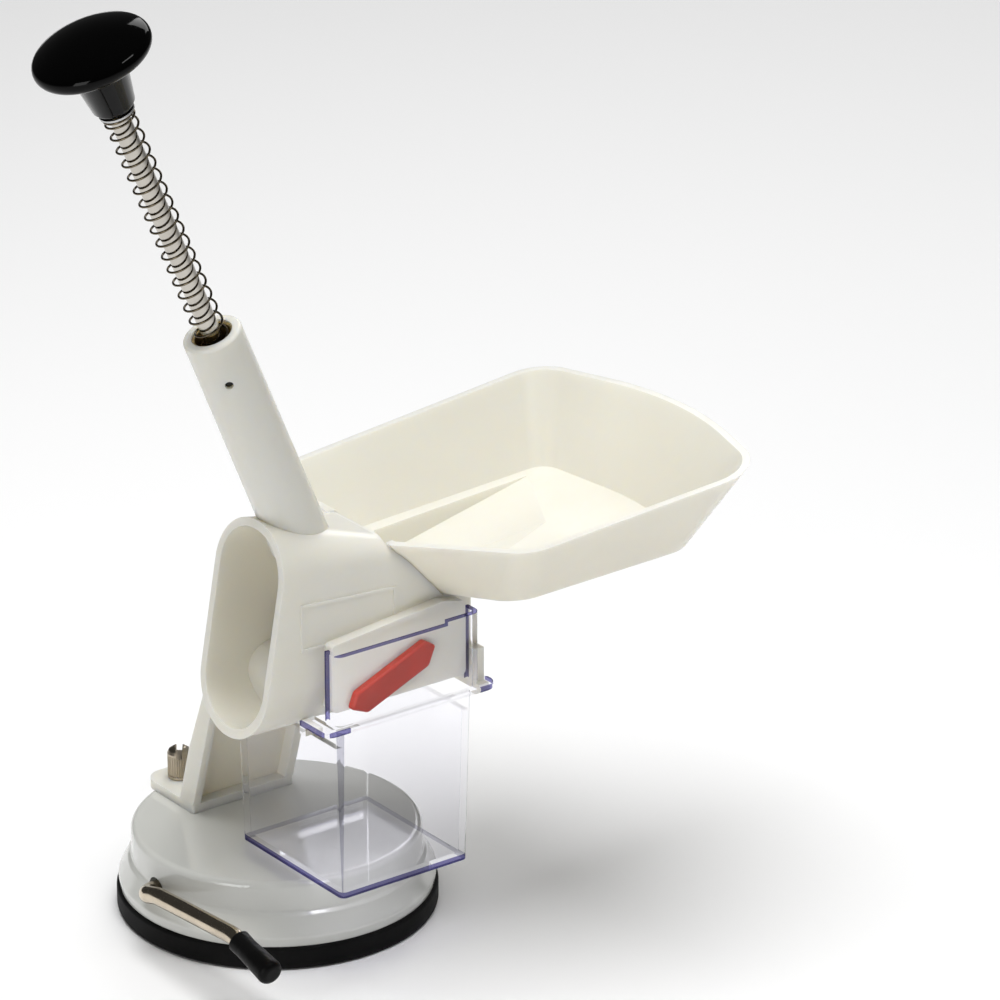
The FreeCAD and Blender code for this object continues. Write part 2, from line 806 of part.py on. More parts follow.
def stop_clip_ring(radius):
    high = -sleeve_recess - sleeve_length - part_gap
    ring = disc(radius, high - stop_clip_thickness, high)
    return ring.cut(disc(rod_radius - stop_clip_groove, high - 2, high + 1))


def plunger_rod():
    rod = disc(rod_radius, -rod_bottom, rod_top).cut(stop_clip_ring(rod_radius + 1))
    socket = disc(tip_diameter / 2 - 0.6, -rod_bottom - 1, -rod_bottom + tip_shank)
    return on_plunger_line(rod.cut(socket))


def stop_clip():
    opening = block(0, stop_clip_radius + 1, -1.7, 1.7, -rod_bottom, 0)
    return on_plunger_line(stop_clip_ring(stop_clip_radius).cut(opening))


def piercing_tip():
    """Steel punch with a four-edged point, pressed into the rod."""
    radius = tip_diameter / 2
    end = -rod_bottom - tip_length
    tip = disc(radius - 0.6, -rod_bottom, -rod_bottom + tip_shank)
    tip = tip.fuse(disc(radius, end + tip_point, -rod_bottom))
    tip = tip.fuse(Part.makeCone(radius * 0.35, radius, tip_point, V(0, 0, end)))
    for angle in (45, 135, 225, 315):
        x = math.cos(math.radians(angle)) * radius * 1.25
        y = math.sin(math.radians(angle)) * radius * 1.25
        tip = tip.cut(disc(radius * 0.5, end - 1, end + tip_length * 0.7, (x, y)))
    return on_plunger_line(tip.removeSplitter())


def plunger_knob():
    top = knob_height
    rim = knob_rim_height
    head = knob_head_radius
    foot = V(knob_foot_radius, 0, 0)
    chamfer = V(knob_stem_radius, 0, knob_foot_chamfer)
    neck = V(knob_neck_radius, 0, knob_neck_height)
    under = V(head - 3.4, 0, rim - 3.4)
    over = V(head - 1.2, 0, rim + 2.0)
    dome = top - over.z
    dome_radius = (over.x ** 2 + dome ** 2) / (2 * dome)
    dome_x = over.x / 2
    dome_point = V(dome_x, 0, top - dome_radius + math.sqrt(dome_radius ** 2 - dome_x ** 2))
    line = [
        Part.makeLine(V(0, 0, 0), foot),
        Part.makeLine(foot, chamfer),
        Part.makeLine(chamfer, neck),
        Part.Arc(neck, V(knob_neck_radius + 2.2, 0, knob_neck_height + 2.2), under).toShape(),
        Part.Arc(under, V(head, 0, rim), over).toShape(),
        Part.Arc(over, dome_point, V(0, 0, top)).toShape(),
        Part.makeLine(V(0, 0, top), V(0, 0, 0)),
    ]
    shape = Part.Face(Part.Wire(line)).revolve(V(0, 0, 0), V(0, 0, 1), 360)
    shape = shape.cut(disc(insert_radius, -1, insert_length))
    return on_plunger_line(shape.translated(V(0, 0, knob_seat)))


def knob_insert():
    insert = disc(insert_radius, knob_seat, knob_seat + insert_length)
    return on_plunger_line(insert.cut(disc(rod_radius, knob_seat - 1, rod_top)))


def spring_washer():
    low = knob_seat - washer_thickness
    washer = disc(washer_radius, low, knob_seat)
    return on_plunger_line(washer.cut(disc(rod_radius + run_gap, low - 1, knob_seat + 1)))


def biarc(p0, t0, p1, t1):
    """Two arcs that meet smoothly and keep the direction at both ends."""
    v = p1 - p0
    a = 2 * (1 - t0.dot(t1))
    b = 2 * v.dot(t0 + t1)
    d = (-b + math.sqrt(b * b + 4 * a * v.dot(v))) / (2 * a)
    q0 = p0 + t0 * d
    q1 = p1 - t1 * d
    middle = (q0 + q1) * 0.5
    edges = []
    for start, corner, end in ((p0, q0, middle), (middle, q1, p1)):
        chord_middle = (start + end) * 0.5
        cosine = start.distanceToPoint(end) / 2 / d
        peak = chord_middle + (corner - chord_middle) * (cosine / (1 + cosine))
        edges.append(Part.Arc(start, peak, end).toShape())
    return edges


def return_spring():
    low = -sleeve_recess - sleeve_cup_depth + spring_wire / 2 + run_gap
    high = knob_seat - washer_thickness - spring_wire / 2 - run_gap
    blend_rise = (spring_end_pitch + spring_pitch) / 2
    middle_turns = round((high - low - 2 * spring_end_pitch - 2 * blend_rise) / spring_pitch)
    pitch = (high - low - 3 * spring_end_pitch) / (middle_turns + 1)
    turns = middle_turns + 4

    def height(turn):
        t = min(turn, turns - turn)
        share = min(max(t - 1, 0), 1)
        rise = spring_end_pitch * t + (pitch - spring_end_pitch) * (share * share / 2 + max(t - 2, 0))
        return low + rise if turn <= turns / 2 else high - rise

    def point(turn):
        angle = 2 * math.pi * turn
        return V(spring_radius * math.cos(angle), spring_radius * math.sin(angle), height(turn))

    def direction(turn):
        angle = 2 * math.pi * turn
        share = min(max(min(turn, turns - turn) - 1, 0), 1)
        slope = spring_end_pitch + (pitch - spring_end_pitch) * share
        round_speed = 2 * math.pi * spring_radius
        result = V(-round_speed * math.sin(angle), round_speed * math.cos(angle), slope)
        result.normalize()
        return result

    edges = []
    for i in range(turns * 4):
        a = i / 4
        b = (i + 1) / 4
        edges += biarc(point(a), direction(a), point(b), direction(b))
    coil = swept(Part.Wire(edges), spring_wire / 2)
    samples = [point(i / 24) for i in range(turns * 24 + 1)]
    gaps = []
    for i, here in enumerate(samples):
        for there in samples[i + 14:i + 36]:
            gaps.append(here.distanceToPoint(there) - spring_wire)
    print("return_spring: curls", turns, "least gap to itself", round(min(gaps), 3), "mm")
    return on_plunger_line(coil)


def pit_seal():
    half = seal_width / 2
    thick = seal_thickness / 2
    tab_back = boss_front_y - sit_gap - mid_y
    tab_face = tab_back - seal_tab_depth
    pad = block(-half, half, tab_back - 1, seal_back_y - mid_y, -thick, thick)
    tab_half = seal_tab_width / 2
    low = -thick - 1.0
    high = low + seal_tab_thickness
    bevel = seal_tab_bevel
    outline = [
        (-tab_half, low + bevel, 1.0), (-tab_half + bevel, low, 2.0), (tab_half - bevel, low, 2.0),
        (tab_half, low + bevel, 1.0), (tab_half - bevel * 0.6, high, 1.5), (-tab_half + bevel * 0.8, high, 1.5),
    ]
    edges = rounded_edges([(V(x, tab_face, z), radius) for x, z, radius in outline], True)
    tab = Part.Face(Part.Wire(edges)).extrude(V(0, seal_tab_depth, 0))
    front = [e for e in tab.Edges if e.BoundBox.YMax < tab_face + 0.01]
    tab = tab.makeFillet(0.9, front)
    opening = disc(tip_diameter / 2 + 0.5, -thick - 1, thick + 1)
    reach = pit_hole_radius - 1
    slit = seal_slit / 2
    opening = opening.fuse(block(-reach, reach, -slit, slit, -thick - 1, thick + 1))
    opening = opening.fuse(block(-slit, slit, -reach, reach, -thick - 1, thick + 1))
    return at_seal(pad.fuse(tab).removeSplitter().cut(opening))


# Pit box

def box_wire(inset, grow, z):
    edge = inset - grow
    corner = max(box_corner_radius - inset, 0.8)
    wire = rounded_wire([
        (box_left + edge, box_front + edge, corner), (box_right - edge, box_front + edge, corner),
        (box_right - edge, box_back - edge, corner), (box_left + edge, box_back - edge, corner),
    ])
    return wire.translated(V(0, 0, z))


def pit_box():
    ledge_top = ledge_z + ledge_thickness
    floor_z = box_bottom + box_floor
    rate = box_draft / (ledge_top - box_bottom)
    outer = loft(box_wire(0, 0, box_bottom), box_wire(0, box_draft, ledge_top))
    inner = loft(box_wire(box_wall, rate * box_floor, floor_z), box_wire(box_wall, box_draft, ledge_top))
    walls = outer.cut(inner)
    behind_front = box_front + box_wall - box_draft + 0.2
    walls = walls.cut(block(box_left - 9, box_right + 9, behind_front, box_back + 9, box_rim_z, ledge_top + 1))
    back = box_back + rate * (box_rim_z - box_bottom)
    flange = block(-box_flange_half, box_flange_half, back - 0.5, back + box_flange,
                   box_rim_z - box_flange_height, box_rim_z)
    walls = walls.fuse(flange)
    panel = rounded_plate([
        (panel_left, panel_front, panel_corner_radius), (panel_right, panel_front, panel_corner_radius),
        (panel_right, panel_return_y, 0.4), (panel_left, panel_return_y, 0.4),
    ], ledge_z, panel_top + panel_step)
    hollow = rounded_plate([
        (panel_left + panel_wall, panel_front + panel_wall, panel_corner_radius - panel_wall),
        (panel_right - panel_wall, panel_front + panel_wall, panel_corner_radius - panel_wall),
        (panel_right - panel_wall, panel_return_y + 2, 0.4), (panel_left + panel_wall, panel_return_y + 2, 0.4),
    ], ledge_z - 1, panel_top + panel_step + 1)
    panel = panel.cut(hollow)
    panel = panel.cut(block(panel_left - 2, panel_step_x, panel_front - 2, 0, panel_top, panel_top + 9))
    ledge = rounded_plate([
        (ear_left, ear_left_back, 0.6), (ear_left, ledge_front, ear_left_corner),
        (ear_right, ledge_front, ear_right_corner), (ear_right, ear_right_back, 1.0),
        (panel_right + 0.2, ear_right_back, 0.4), (panel_right + 0.2, ear_left_back, 0.4),
    ], ledge_z, ledge_top)
    opening = block(panel_left - 0.6, panel_right - panel_wall, panel_front + panel_wall, 0, ledge_z - 1, ledge_top + 1)
    ledge = ledge.cut(opening)
    tab = block(ear_left, ear_left + ear_tab_width, ear_left_back - ear_tab_length, ear_left_back,
                ledge_z - ear_tab_drop, ledge_top)
    return walls.fuse(panel).fuse(ledge).fuse(tab).removeSplitter()


# Feed tray

def tray_wire(corners, slope, z):
    stretch = 1 / math.cos(math.radians(slope))
    wire = rounded_wire([((x - tray_left) * stretch, y, radius) for x, y, radius in corners])
    wire.rotate(V(0, 0, 0), V(0, 1, 0), -slope)
    return wire.translated(V(tray_left, 0, z))


def tray_solid(inset, lift, headroom):
    """The tray's outer form moved in by an inset, with its floor lifted and extra height on top."""
    low = tray_wire(inset_corners(tray_bottom, inset), tray_floor_slope, tray_floor_z + lift)
    high = tray_wire(inset_corners(tray_rim, inset), tray_rim_slope, tray_rim_z)
    solid = loft(low, high)
    if headroom > 0:
        solid = solid.fuse(Part.Face(high).extrude(V(0, 0, headroom)))
    return solid


def floor_at(x):
    """Height of the tray floor's upper side."""
    return tray_floor_z + tray_floor + (x - tray_left) * math.tan(math.radians(tray_floor_slope))


def channel(offset, rise):
    """Feed channel let into the tray floor, grown by an offset and topped above the floor by a rise."""
    far_end = channel_right_far[0] + 8
    left = channel_left
    low_z = channel_low_z - 12
    solid = side_prism([
        (left, low_z), (far_end, low_z), (far_end, floor_at(far_end) + rise), (left, floor_at(left) + rise),
    ], tray_bottom[1][1], tray_bottom[-1][1])

    def on_floor(point):
        return V(point[0], point[1], floor_at(point[0]))

    far = on_floor(channel_right_far)
    near = on_floor(channel_right_near)
    low = V(left, channel_low_y, channel_low_z)
    floor_normal = (near - far).cross(low - far)
    if floor_normal.z < 0:
        floor_normal = floor_normal * -1
    fold = V(channel_fold[0], channel_fold[1], 0)
    fold.z = far.z - (floor_normal.x * (fold.x - far.x) + floor_normal.y * (fold.y - far.y)) / floor_normal.z
    near_normal = (on_floor(channel_near) - near).cross(fold - near)
    if near_normal.z < 0:
        near_normal = near_normal * -1
    corner = V(channel_far_corner[0], channel_far_corner[1], 0)
    throat = V(left, channel_throat_far, 0)
    throat_normal = (corner - throat).cross(V(0, 0, 1))
    solid = trimmed(solid, far, floor_normal, offset)
    solid = trimmed(solid, near, near_normal, offset)
    solid = trimmed(solid, V(0, channel_throat_near, 0), V(0, 1, 0), offset)
    solid = trimmed(solid, far, V(0, -1, channel_side_lean), offset)
    return trimmed(solid, throat, throat_normal, offset)


def feed_tray():
    tray = tray_solid(0, 0, 0).cut(tray_solid(tray_wall, tray_floor, 5.0))
    doorway = block(tray_left - 5, doorway_right, inner_near_y + part_gap, inner_far_y - part_gap,
                    tray_floor_z - 3, seam_top + 9)
    tray = tray.cut(doorway)
    tray = tray.fuse(channel(tray_floor, -tray_floor / 2)).cut(channel(0, 8.0))
    return tray.removeSplitter()


def build():
    pin = on_plunger_line(sleeve_pin_shape(tube_mouth_radius - sleeve_pin_recess))
    parts = {
        "suction_pad": suction_pad(),
        "base_shell": base_shell(),
        "lift_stem": lift_stem(),
        "foot_studs": foot_studs(),
        "knurled_nuts": knurled_nuts(),
        "support_stand": support_stand(),
        "stand_screws": stand_screws(),
        "pitter_body": pitter_body(),
        "guide_sleeve": guide_sleeve(),
        "sleeve_pin": pin,
        "plunger_rod": plunger_rod(),
        "piercing_tip": piercing_tip(),
        "stop_clip": stop_clip(),
        "return_spring": return_spring(),
        "spring_washer": spring_washer(),
        "plunger_knob": plunger_knob(),
        "knob_insert": knob_insert(),
        "pit_seal": pit_seal(),
        "pit_box": pit_box(),
        "feed_tray": feed_tray(),
    }
    parts.update(lever_parts())
    return parts


os.makedirs("parts", exist_ok=True)
for name, shape in build().items():
    shape.exportStep("parts/" + name + ".step")
    box = shape.BoundBox
    print(name, "solids", len(shape.Solids), "valid", shape.isValid(), "volume", round(shape.Volume, 1),
          "x", round(box.XMin, 1), round(box.XMax, 1), "y", round(box.YMin, 1), round(box.YMax, 1),
          "z", round(box.ZMin, 1), round(box.ZMax, 1))
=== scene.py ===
import json
import math

import bpy
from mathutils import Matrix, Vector


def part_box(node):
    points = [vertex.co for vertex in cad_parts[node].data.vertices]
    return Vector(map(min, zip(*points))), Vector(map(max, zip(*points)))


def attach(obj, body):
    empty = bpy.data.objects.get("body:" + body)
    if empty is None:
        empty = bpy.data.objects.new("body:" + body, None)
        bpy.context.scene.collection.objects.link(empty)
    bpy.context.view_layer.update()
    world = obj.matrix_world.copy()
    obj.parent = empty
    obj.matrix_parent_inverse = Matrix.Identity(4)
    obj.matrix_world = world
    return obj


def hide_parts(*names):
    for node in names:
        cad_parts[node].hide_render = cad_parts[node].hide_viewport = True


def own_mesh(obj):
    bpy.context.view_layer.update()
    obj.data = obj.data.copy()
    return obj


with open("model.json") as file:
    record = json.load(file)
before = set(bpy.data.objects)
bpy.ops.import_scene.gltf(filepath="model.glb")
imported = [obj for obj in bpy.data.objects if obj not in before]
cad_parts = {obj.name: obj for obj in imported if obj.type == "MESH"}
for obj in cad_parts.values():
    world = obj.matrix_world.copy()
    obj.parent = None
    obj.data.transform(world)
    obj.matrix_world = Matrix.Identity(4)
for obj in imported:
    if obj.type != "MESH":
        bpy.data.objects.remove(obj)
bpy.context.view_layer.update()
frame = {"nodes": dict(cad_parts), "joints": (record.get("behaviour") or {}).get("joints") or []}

bl_info = {
    "name": "Cherry Pitter",
    "version": (1, 0, 0),
    "blender": (4, 5, 0),
    "location": "3D View > Sidebar > Cherry Pitter",
    "description": "Dresses the packed cherry pitter and sets it on a pale studio floor",
    "category": "Object",
}

nodes = frame["nodes"]
plunge = next(joint for joint in frame["joints"] if joint["name"] == "plunger_slide")
plunger_up = -Vector(plunge["axis"]).normalized()
plunger_tilt = math.atan2(plunger_up.x, plunger_up.z)


def middle_of(node):
    low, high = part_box(node)
    return (low + high) / 2


line_point = middle_of("spring_washer")


def reach_along_plunger(node):
    """Lowest and highest place of a node, measured up the plunger from the washer."""
    heights = [(vertex.co - line_point).dot(plunger_up) for vertex in nodes[node].data.vertices]
    return min(heights), max(heights)


spring_reach = reach_along_plunger("return_spring")
knob_reach = reach_along_plunger("plunger_knob")

# Outlines of the pit box as the CAD source draws them, in millimetres
box_left, box_right, box_front, box_back = -18.6, 28.3, -61.2, -8.3
panel_left, panel_right, panel_back, panel_step_x = -19.6, 33.4, -54.6, 21.1
ledge_low, ledge_high = 84.4, 86.1

# The photo's view
camera_place = (-0.9134, -1.3331, 0.8054)
camera_turn = (67.415, 0.0, -36.869)
camera_lens = 208.08
sensor_width = 36.0

# Soft lights: name, place, width, height, watts, and whether glossy faces show them
light_target = (0.0, 0.0, 0.13)
studio_lights = (
    ("overhead_panel", (-0.05, 0.0, 1.5), 1.2, 1.2, 23.0, False),
    ("gloss_strip", (0.2, -0.75, 1.35), 0.5, 0.2, 3.0, True),
    ("left_panel", (-1.3, -0.6, 0.3), 0.6, 0.6, 4.6, True),
    ("back_panel", (1.2, 0.9, 1.1), 0.8, 0.8, 5.0, True),
)
world_glow_unseen = 0.05


def length(label, words, value, low=0.0, high=1.0):
    return bpy.props.FloatProperty(
        name=label, description=words, default=value, min=low, max=high, unit="LENGTH", precision=4
    )


def colour(label, words, value):
    return bpy.props.FloatVectorProperty(
        name=label, description=words, default=value, min=0.0, max=1.0, size=3, subtype="COLOR"
    )


class PitterSizes(bpy.types.PropertyGroup):
    spring_wire: length("Spring wire", "Thickness of the spring's wire", 0.0007, 0.0003, 0.0012)
    spring_radius: length(
        "Spring radius", "From the plunger's middle to the wire's middle", 0.00455, 0.0036, 0.006
    )
    spring_end_pitch: length(
        "End pitch", "Rise of each closed turn at the spring's ends", 0.0012, 0.0007, 0.003
    )
    spring_curls: bpy.props.IntProperty(
        name="Spring curls", description="Turns in the spring, closed ends included", default=21, min=8, max=60
    )
    knob_radius: length("Knob radius", "Half the width of the knob's head", 0.01775, 0.01, 0.03)
    knob_rim: length(
        "Knob rim height", "From the knob's foot to its widest line", 0.0204, 0.015, 0.03
    )
    knob_neck_radius: length(
        "Neck radius", "Half the width where the head begins", 0.0081, 0.006, 0.01
    )
    knob_neck_height: length(
        "Neck height", "From the knob's foot to the start of the head", 0.0126, 0.008, 0.016
    )
    knob_stem_radius: length(
        "Stem radius", "Half the width of the stem above its chamfer", 0.0064, 0.005, 0.009
    )
    knob_foot_radius: length(
        "Foot radius", "Half the width of the knob's foot", 0.0047, 0.003, 0.006
    )
    knob_chamfer: length(
        "Foot chamfer", "Height of the slope at the knob's foot", 0.0022, 0.0005, 0.004
    )
    floor_width: length("Floor width", "Width of the pale floor", 12.0, 2.0, 40.0)


class PitterColours(bpy.types.PropertyGroup):
    ivory: colour("Ivory plastic", "Body, tray and stand", (0.775, 0.757, 0.69))
    ivory_shade: colour("Ivory shade", "Warmer patches of the body's plastic", (0.75, 0.728, 0.65))
    shell: colour("Base white", "Glossy shell of the suction base", (0.635, 0.64, 0.605))
    shell_shade: colour("Base shade", "Cooler patches of the base's shell", (0.61, 0.615, 0.585))
    rubber: colour("Rubber", "Suction pad", (0.004, 0.004, 0.004))
    grip: colour("Grip", "Sleeve on the lever", (0.003, 0.003, 0.003))
    knob: colour("Knob", "Glossy knob", (0.0006, 0.0006, 0.0006))
    seal: colour("Seal", "Soft red seal", (0.47, 0.035, 0.018))
    box: colour("Box", "Clear plastic of the pit box", (0.995, 0.995, 1.0))
    box_depth: colour(
        "Box depth", "Tint that the clear plastic takes where it is thick", (0.30, 0.27, 0.86)
    )
    # Painted shade: dark indigo in the box's base colour on its rims, standing in for the darkening that refraction and
    # internal reflection give there
    box_rim_painted_shade: colour(
        "Box edge", "Rims of the pit box, seen through their length", (0.055, 0.05, 0.2)
    )
    # Painted shade: grey-violet in the box's base colour on its upright corners and far foot
    box_corner_painted_shade: colour("Box corner", "Upright corners of the pit box", (0.40, 0.40, 0.48))
    nickel: colour("Nickel", "Lever rod and nuts", (0.64, 0.56, 0.44))
    rod: colour("Rod", "Polished plunger rod", (0.55, 0.52, 0.47))
    spring: colour("Spring wire", "Drawn spring wire", (0.17, 0.14, 0.095))
    steel: colour("Steel", "Small fasteners and the tip", (0.55, 0.55, 0.55))
    brass: colour("Brass", "Guide sleeve", (0.82, 0.66, 0.34))
    nylon: colour("Natural plastic", "Lift stem and eccentric", (0.70, 0.68, 0.62))
    floor: colour("Floor", "Studio floor", (0.95, 0.95, 0.95))


def sizes():
    return bpy.context.scene.pitter_sizes


def colours():
    return bpy.context.scene.pitter_colours


# Effects that several materials share


def new_effect(name, inputs, outputs):
    """An empty node group with these sockets, and its two end nodes."""
    group = bpy.data.node_groups.new(name, "ShaderNodeTree")
    for label, kind, value in inputs:
        made = group.interface.new_socket(name=label, in_out="INPUT", socket_type="NodeSocket" + kind)
        made.default_value = value
    for label, kind in outputs:
        group.interface.new_socket(name=label, in_out="OUTPUT", socket_type="NodeSocket" + kind)
    start = group.nodes.new("NodeGroupInput")
    end = group.nodes.new("NodeGroupOutput")
    return group, start, end


def add(tree, kind, **settings):
    node = tree.nodes.new("ShaderNode" + kind)
    for key, value in settings.items():
        setattr(node, key, value)
    return node


def noise(tree, place, scale, detail=2.0, roughness=0.5):
    node = add(tree, "TexNoise")
    node.inputs["Detail"].default_value = detail
    node.inputs["Roughness"].default_value = roughness
    tree.links.new(place, node.inputs["Vector"])
    if isinstance(scale, (int, float)):
        node.inputs["Scale"].default_value = scale
    else:
        tree.links.new(scale, node.inputs["Scale"])
    return node.outputs["Fac"]


def figure(tree, operation, *values):
    """The result of one sum on sockets and numbers."""
    node = add(tree, "Math", operation=operation)
    for socket, value in zip(node.inputs, values):
        if isinstance(value, (int, float)):
            socket.default_value = value
        else:
            tree.links.new(value, socket)
    return node.outputs[0]


def spread(tree, value, low, high, to_low=0.0, to_high=1.0):
    node = add(tree, "MapRange")
    node.inputs["From Min"].default_value = low
    node.inputs["From Max"].default_value = high
    for key, end in (("To Min", to_low), ("To Max", to_high)):
        if isinstance(end, (int, float)):
            node.inputs[key].default_value = end
        else:
            tree.links.new(end, node.inputs[key])
    tree.links.new(value, node.inputs["Value"])
    return node.outputs[0]


def mixed(tree, share, first, second):
    node = add(tree, "Mix", data_type="RGBA")
    tree.links.new(share, node.inputs["Factor"])
    tree.links.new(first, node.inputs["A"])
    tree.links.new(second, node.inputs["B"])
    return node.outputs["Result"]


def bumped(tree, height, depth, normal=None):
    node = add(tree, "Bump")
    tree.links.new(height, node.inputs["Height"])
    if isinstance(depth, (int, float)):
        node.inputs["Distance"].default_value = depth
    else:
        tree.links.new(depth, node.inputs["Distance"])
    if normal is not None:
        tree.links.new(normal, node.inputs["Normal"])
    return node.outputs["Normal"]


def moulded_effect():
    """Flow patches, a fine mould grain and a slightly uneven gloss."""
    group, start, end = new_effect(
        "moulded plastic",
        [
            ("Colour", "Color", (0.8, 0.8, 0.8, 1)), ("Patch Colour", "Color", (0.7, 0.7, 0.7, 1)),
            ("Patch Scale", "Float", 22.0), ("Grain Scale", "Float", 1800.0),
            ("Grain Depth", "Float", 0.00001),
            ("Roughness", "Float", 0.3), ("Roughness Change", "Float", 0.1), ("Wave Depth", "Float", 0.0001),
        ],
        [("Colour", "Color"), ("Roughness", "Float"), ("Normal", "Vector")],
    )
    place = add(group, "TexCoord").outputs["Object"]
    patches = spread(group, noise(group, place, start.outputs["Patch Scale"], 4.0, 0.6), 0.36, 0.66)
    tint = mixed(group, patches, start.outputs["Colour"], start.outputs["Patch Colour"])
    grain = noise(group, place, start.outputs["Grain Scale"], 3.0, 0.65)
    sink = noise(group, place, 55.0, 1.0)
    waves = bumped(group, sink, start.outputs["Wave Depth"])
    normal = bumped(group, grain, start.outputs["Grain Depth"], waves)
    smears = figure(group, "SUBTRACT", noise(group, place, 130.0, 5.0, 0.7), 0.5)
    change = figure(group, "MULTIPLY", smears, start.outputs["Roughness Change"])
    group.links.new(tint, end.inputs["Colour"])
    group.links.new(figure(group, "ADD", start.outputs["Roughness"], change), end.inputs["Roughness"])
    group.links.new(normal, end.inputs["Normal"])
    return group


def drawn_effect():
    """Long fine lines that drawing or turning leaves on metal, with duller stretches."""
    group, start, end = new_effect(
        "drawn metal",
        [
            ("Colour", "Color", (0.7, 0.7, 0.7, 1)), ("Dull Colour", "Color", (0.5, 0.5, 0.5, 1)),
            ("Line Direction", "Vector", (1.0, 1.0, 0.04)), ("Turn", "Vector", (0.0, 0.0, 0.0)),
            ("Line Scale", "Float", 2600.0), ("Line Depth", "Float", 0.00001),
            ("Roughness", "Float", 0.2), ("Roughness Change", "Float", 0.15),
        ],
        [("Colour", "Color"), ("Roughness", "Float"), ("Normal", "Vector")],
    )
    place = add(group, "TexCoord").outputs["Object"]
    turned = add(group, "Mapping", vector_type="POINT")
    stretched = add(group, "VectorMath", operation="MULTIPLY")
    group.links.new(place, turned.inputs["Vector"])
    group.links.new(start.outputs["Turn"], turned.inputs["Rotation"])
    group.links.new(turned.outputs["Vector"], stretched.inputs[0])
    group.links.new(start.outputs["Line Direction"], stretched.inputs[1])
    lines = noise(group, stretched.outputs["Vector"], start.outputs["Line Scale"], 3.0, 0.7)
    dull = spread(group, noise(group, place, 140.0, 4.0, 0.65), 0.42, 0.68)
    tint = mixed(group, dull, start.outputs["Colour"], start.outputs["Dull Colour"])
    both = figure(group, "ADD", figure(group, "MULTIPLY", lines, 0.6), figure(group, "MULTIPLY", dull, 0.4))
    centred = figure(group, "SUBTRACT", both, 0.45)
    change = figure(group, "MULTIPLY", centred, start.outputs["Roughness Change"])
    group.links.new(tint, end.inputs["Colour"])
    group.links.new(figure(group, "ADD", start.outputs["Roughness"], change), end.inputs["Roughness"])
    group.links.new(bumped(group, lines, start.outputs["Line Depth"]), end.inputs["Normal"])
    return group


def scuff_effect():
    """Sparse hairline scuffs and fingerprints, as a mask and a rougher gloss."""
    group, start, end = new_effect(
        "handling scuffs",
        [
            ("Amount", "Float", 0.5), ("Scale", "Float", 90.0),
            ("Roughness", "Float", 0.1), ("Scuffed", "Float", 0.35),
        ],
        [("Mask", "Float"), ("Roughness", "Float")],
    )
    place = add(group, "TexCoord").outputs["Object"]
    warped = add(group, "VectorMath", operation="MULTIPLY")
    warped.inputs[1].default_value = (1.0, 0.12, 0.6)
    group.links.new(place, warped.inputs[0])
    hair_scale = figure(group, "MULTIPLY", start.outputs["Scale"], 14.0)
    hair = noise(group, warped.outputs["Vector"], hair_scale, 2.0, 0.8)
    hair = spread(group, hair, 0.62, 0.70)
    smudge = spread(group, noise(group, place, start.outputs["Scale"], 5.0, 0.72), 0.50, 0.72)
    marks = figure(group, "MULTIPLY", figure(group, "MAXIMUM", hair, smudge), start.outputs["Amount"])
    rough = add(group, "Mix", data_type="FLOAT")
    group.links.new(marks, rough.inputs["Factor"])
    group.links.new(start.outputs["Roughness"], rough.inputs["A"])
    group.links.new(start.outputs["Scuffed"], rough.inputs["B"])
    group.links.new(marks, end.inputs["Mask"])
    group.links.new(rough.outputs["Result"], end.inputs["Roughness"])
    return group


def dust_effect():
    """A breath of pale dust on what faces up."""
    group, start, end = new_effect(
        "settled dust",
        [
            ("Colour", "Color", (0.1, 0.1, 0.1, 1)), ("Dust Colour", "Color", (0.5, 0.5, 0.5, 1)),
            ("Amount", "Float", 0.2),
        ],
        [("Colour", "Color"), ("Mask", "Float")],
    )
    place = add(group, "TexCoord").outputs["Object"]
    facing = add(group, "SeparateXYZ")
    group.links.new(add(group, "NewGeometry").outputs["Normal"], facing.inputs["Vector"])
    upward = spread(group, facing.outputs["Z"], 0.2, 1.0)
    specks = spread(group, noise(group, place, 700.0, 6.0, 0.8), 0.48, 0.74)
    mask = figure(group, "MULTIPLY", figure(group, "MULTIPLY", upward, specks), start.outputs["Amount"])
    dusted = mixed(group, mask, start.outputs["Colour"], start.outputs["Dust Colour"])
    group.links.new(dusted, end.inputs["Colour"])
    group.links.new(mask, end.inputs["Mask"])
    return group


effects = {}


def effect(name):
    makers = {"moulded": moulded_effect, "drawn": drawn_effect, "scuffs": scuff_effect, "dust": dust_effect}
    if name not in effects:
        effects[name] = makers[name]()
    return effects[name]


def place_effect(tree, name, **values):
    """Puts a shared effect in a material, with its inputs named in words joined by underscores."""
    node = tree.nodes.new("ShaderNodeGroup")
    node.node_tree = effect(name)
    for key, value in values.items():
        socket = node.inputs[key.replace("_", " ").title()]
        if isinstance(value, bpy.types.NodeSocket):
            tree.links.new(value, socket)
        elif socket.type == "RGBA":
            socket.default_value = (*value, 1.0)
        else:
            socket.default_value = value
    return node


def new_material(name, **shader_values):
    material = bpy.data.materials.new(name)
    material.use_nodes = True
    tree = material.node_tree
    shader = tree.nodes["Principled BSDF"]
    for key, value in shader_values.items():
        shader.inputs[key.replace("_", " ")].default_value = value
    return material, tree, shader


def join(tree, node, shader, *pairs):
    for out, into in pairs:
        tree.links.new(node.outputs[out], shader.inputs[into])


def moulded_material(name, first, second, roughness, change=0.1, **options):
    material, tree, shader = new_material(name, IOR=1.5, **options.pop("shader", {}))
    node = place_effect(
        tree, "moulded", colour=first, patch_colour=second, roughness=roughness, roughness_change=change,
        **options,
    )
    join(tree, node, shader, ("Colour", "Base Color"), ("Roughness", "Roughness"), ("Normal", "Normal"))
    return material


def metal_material(name, first, second, roughness, **options):
    material, tree, shader = new_material(name, Metallic=1.0)
    node = place_effect(tree, "drawn", colour=first, dull_colour=second, roughness=roughness, **options)
    join(tree, node, shader, ("Colour", "Base Color"), ("Roughness", "Roughness"), ("Normal", "Normal"))
    return material


def darker(shade, share):
    return tuple(value * share for value in shade)


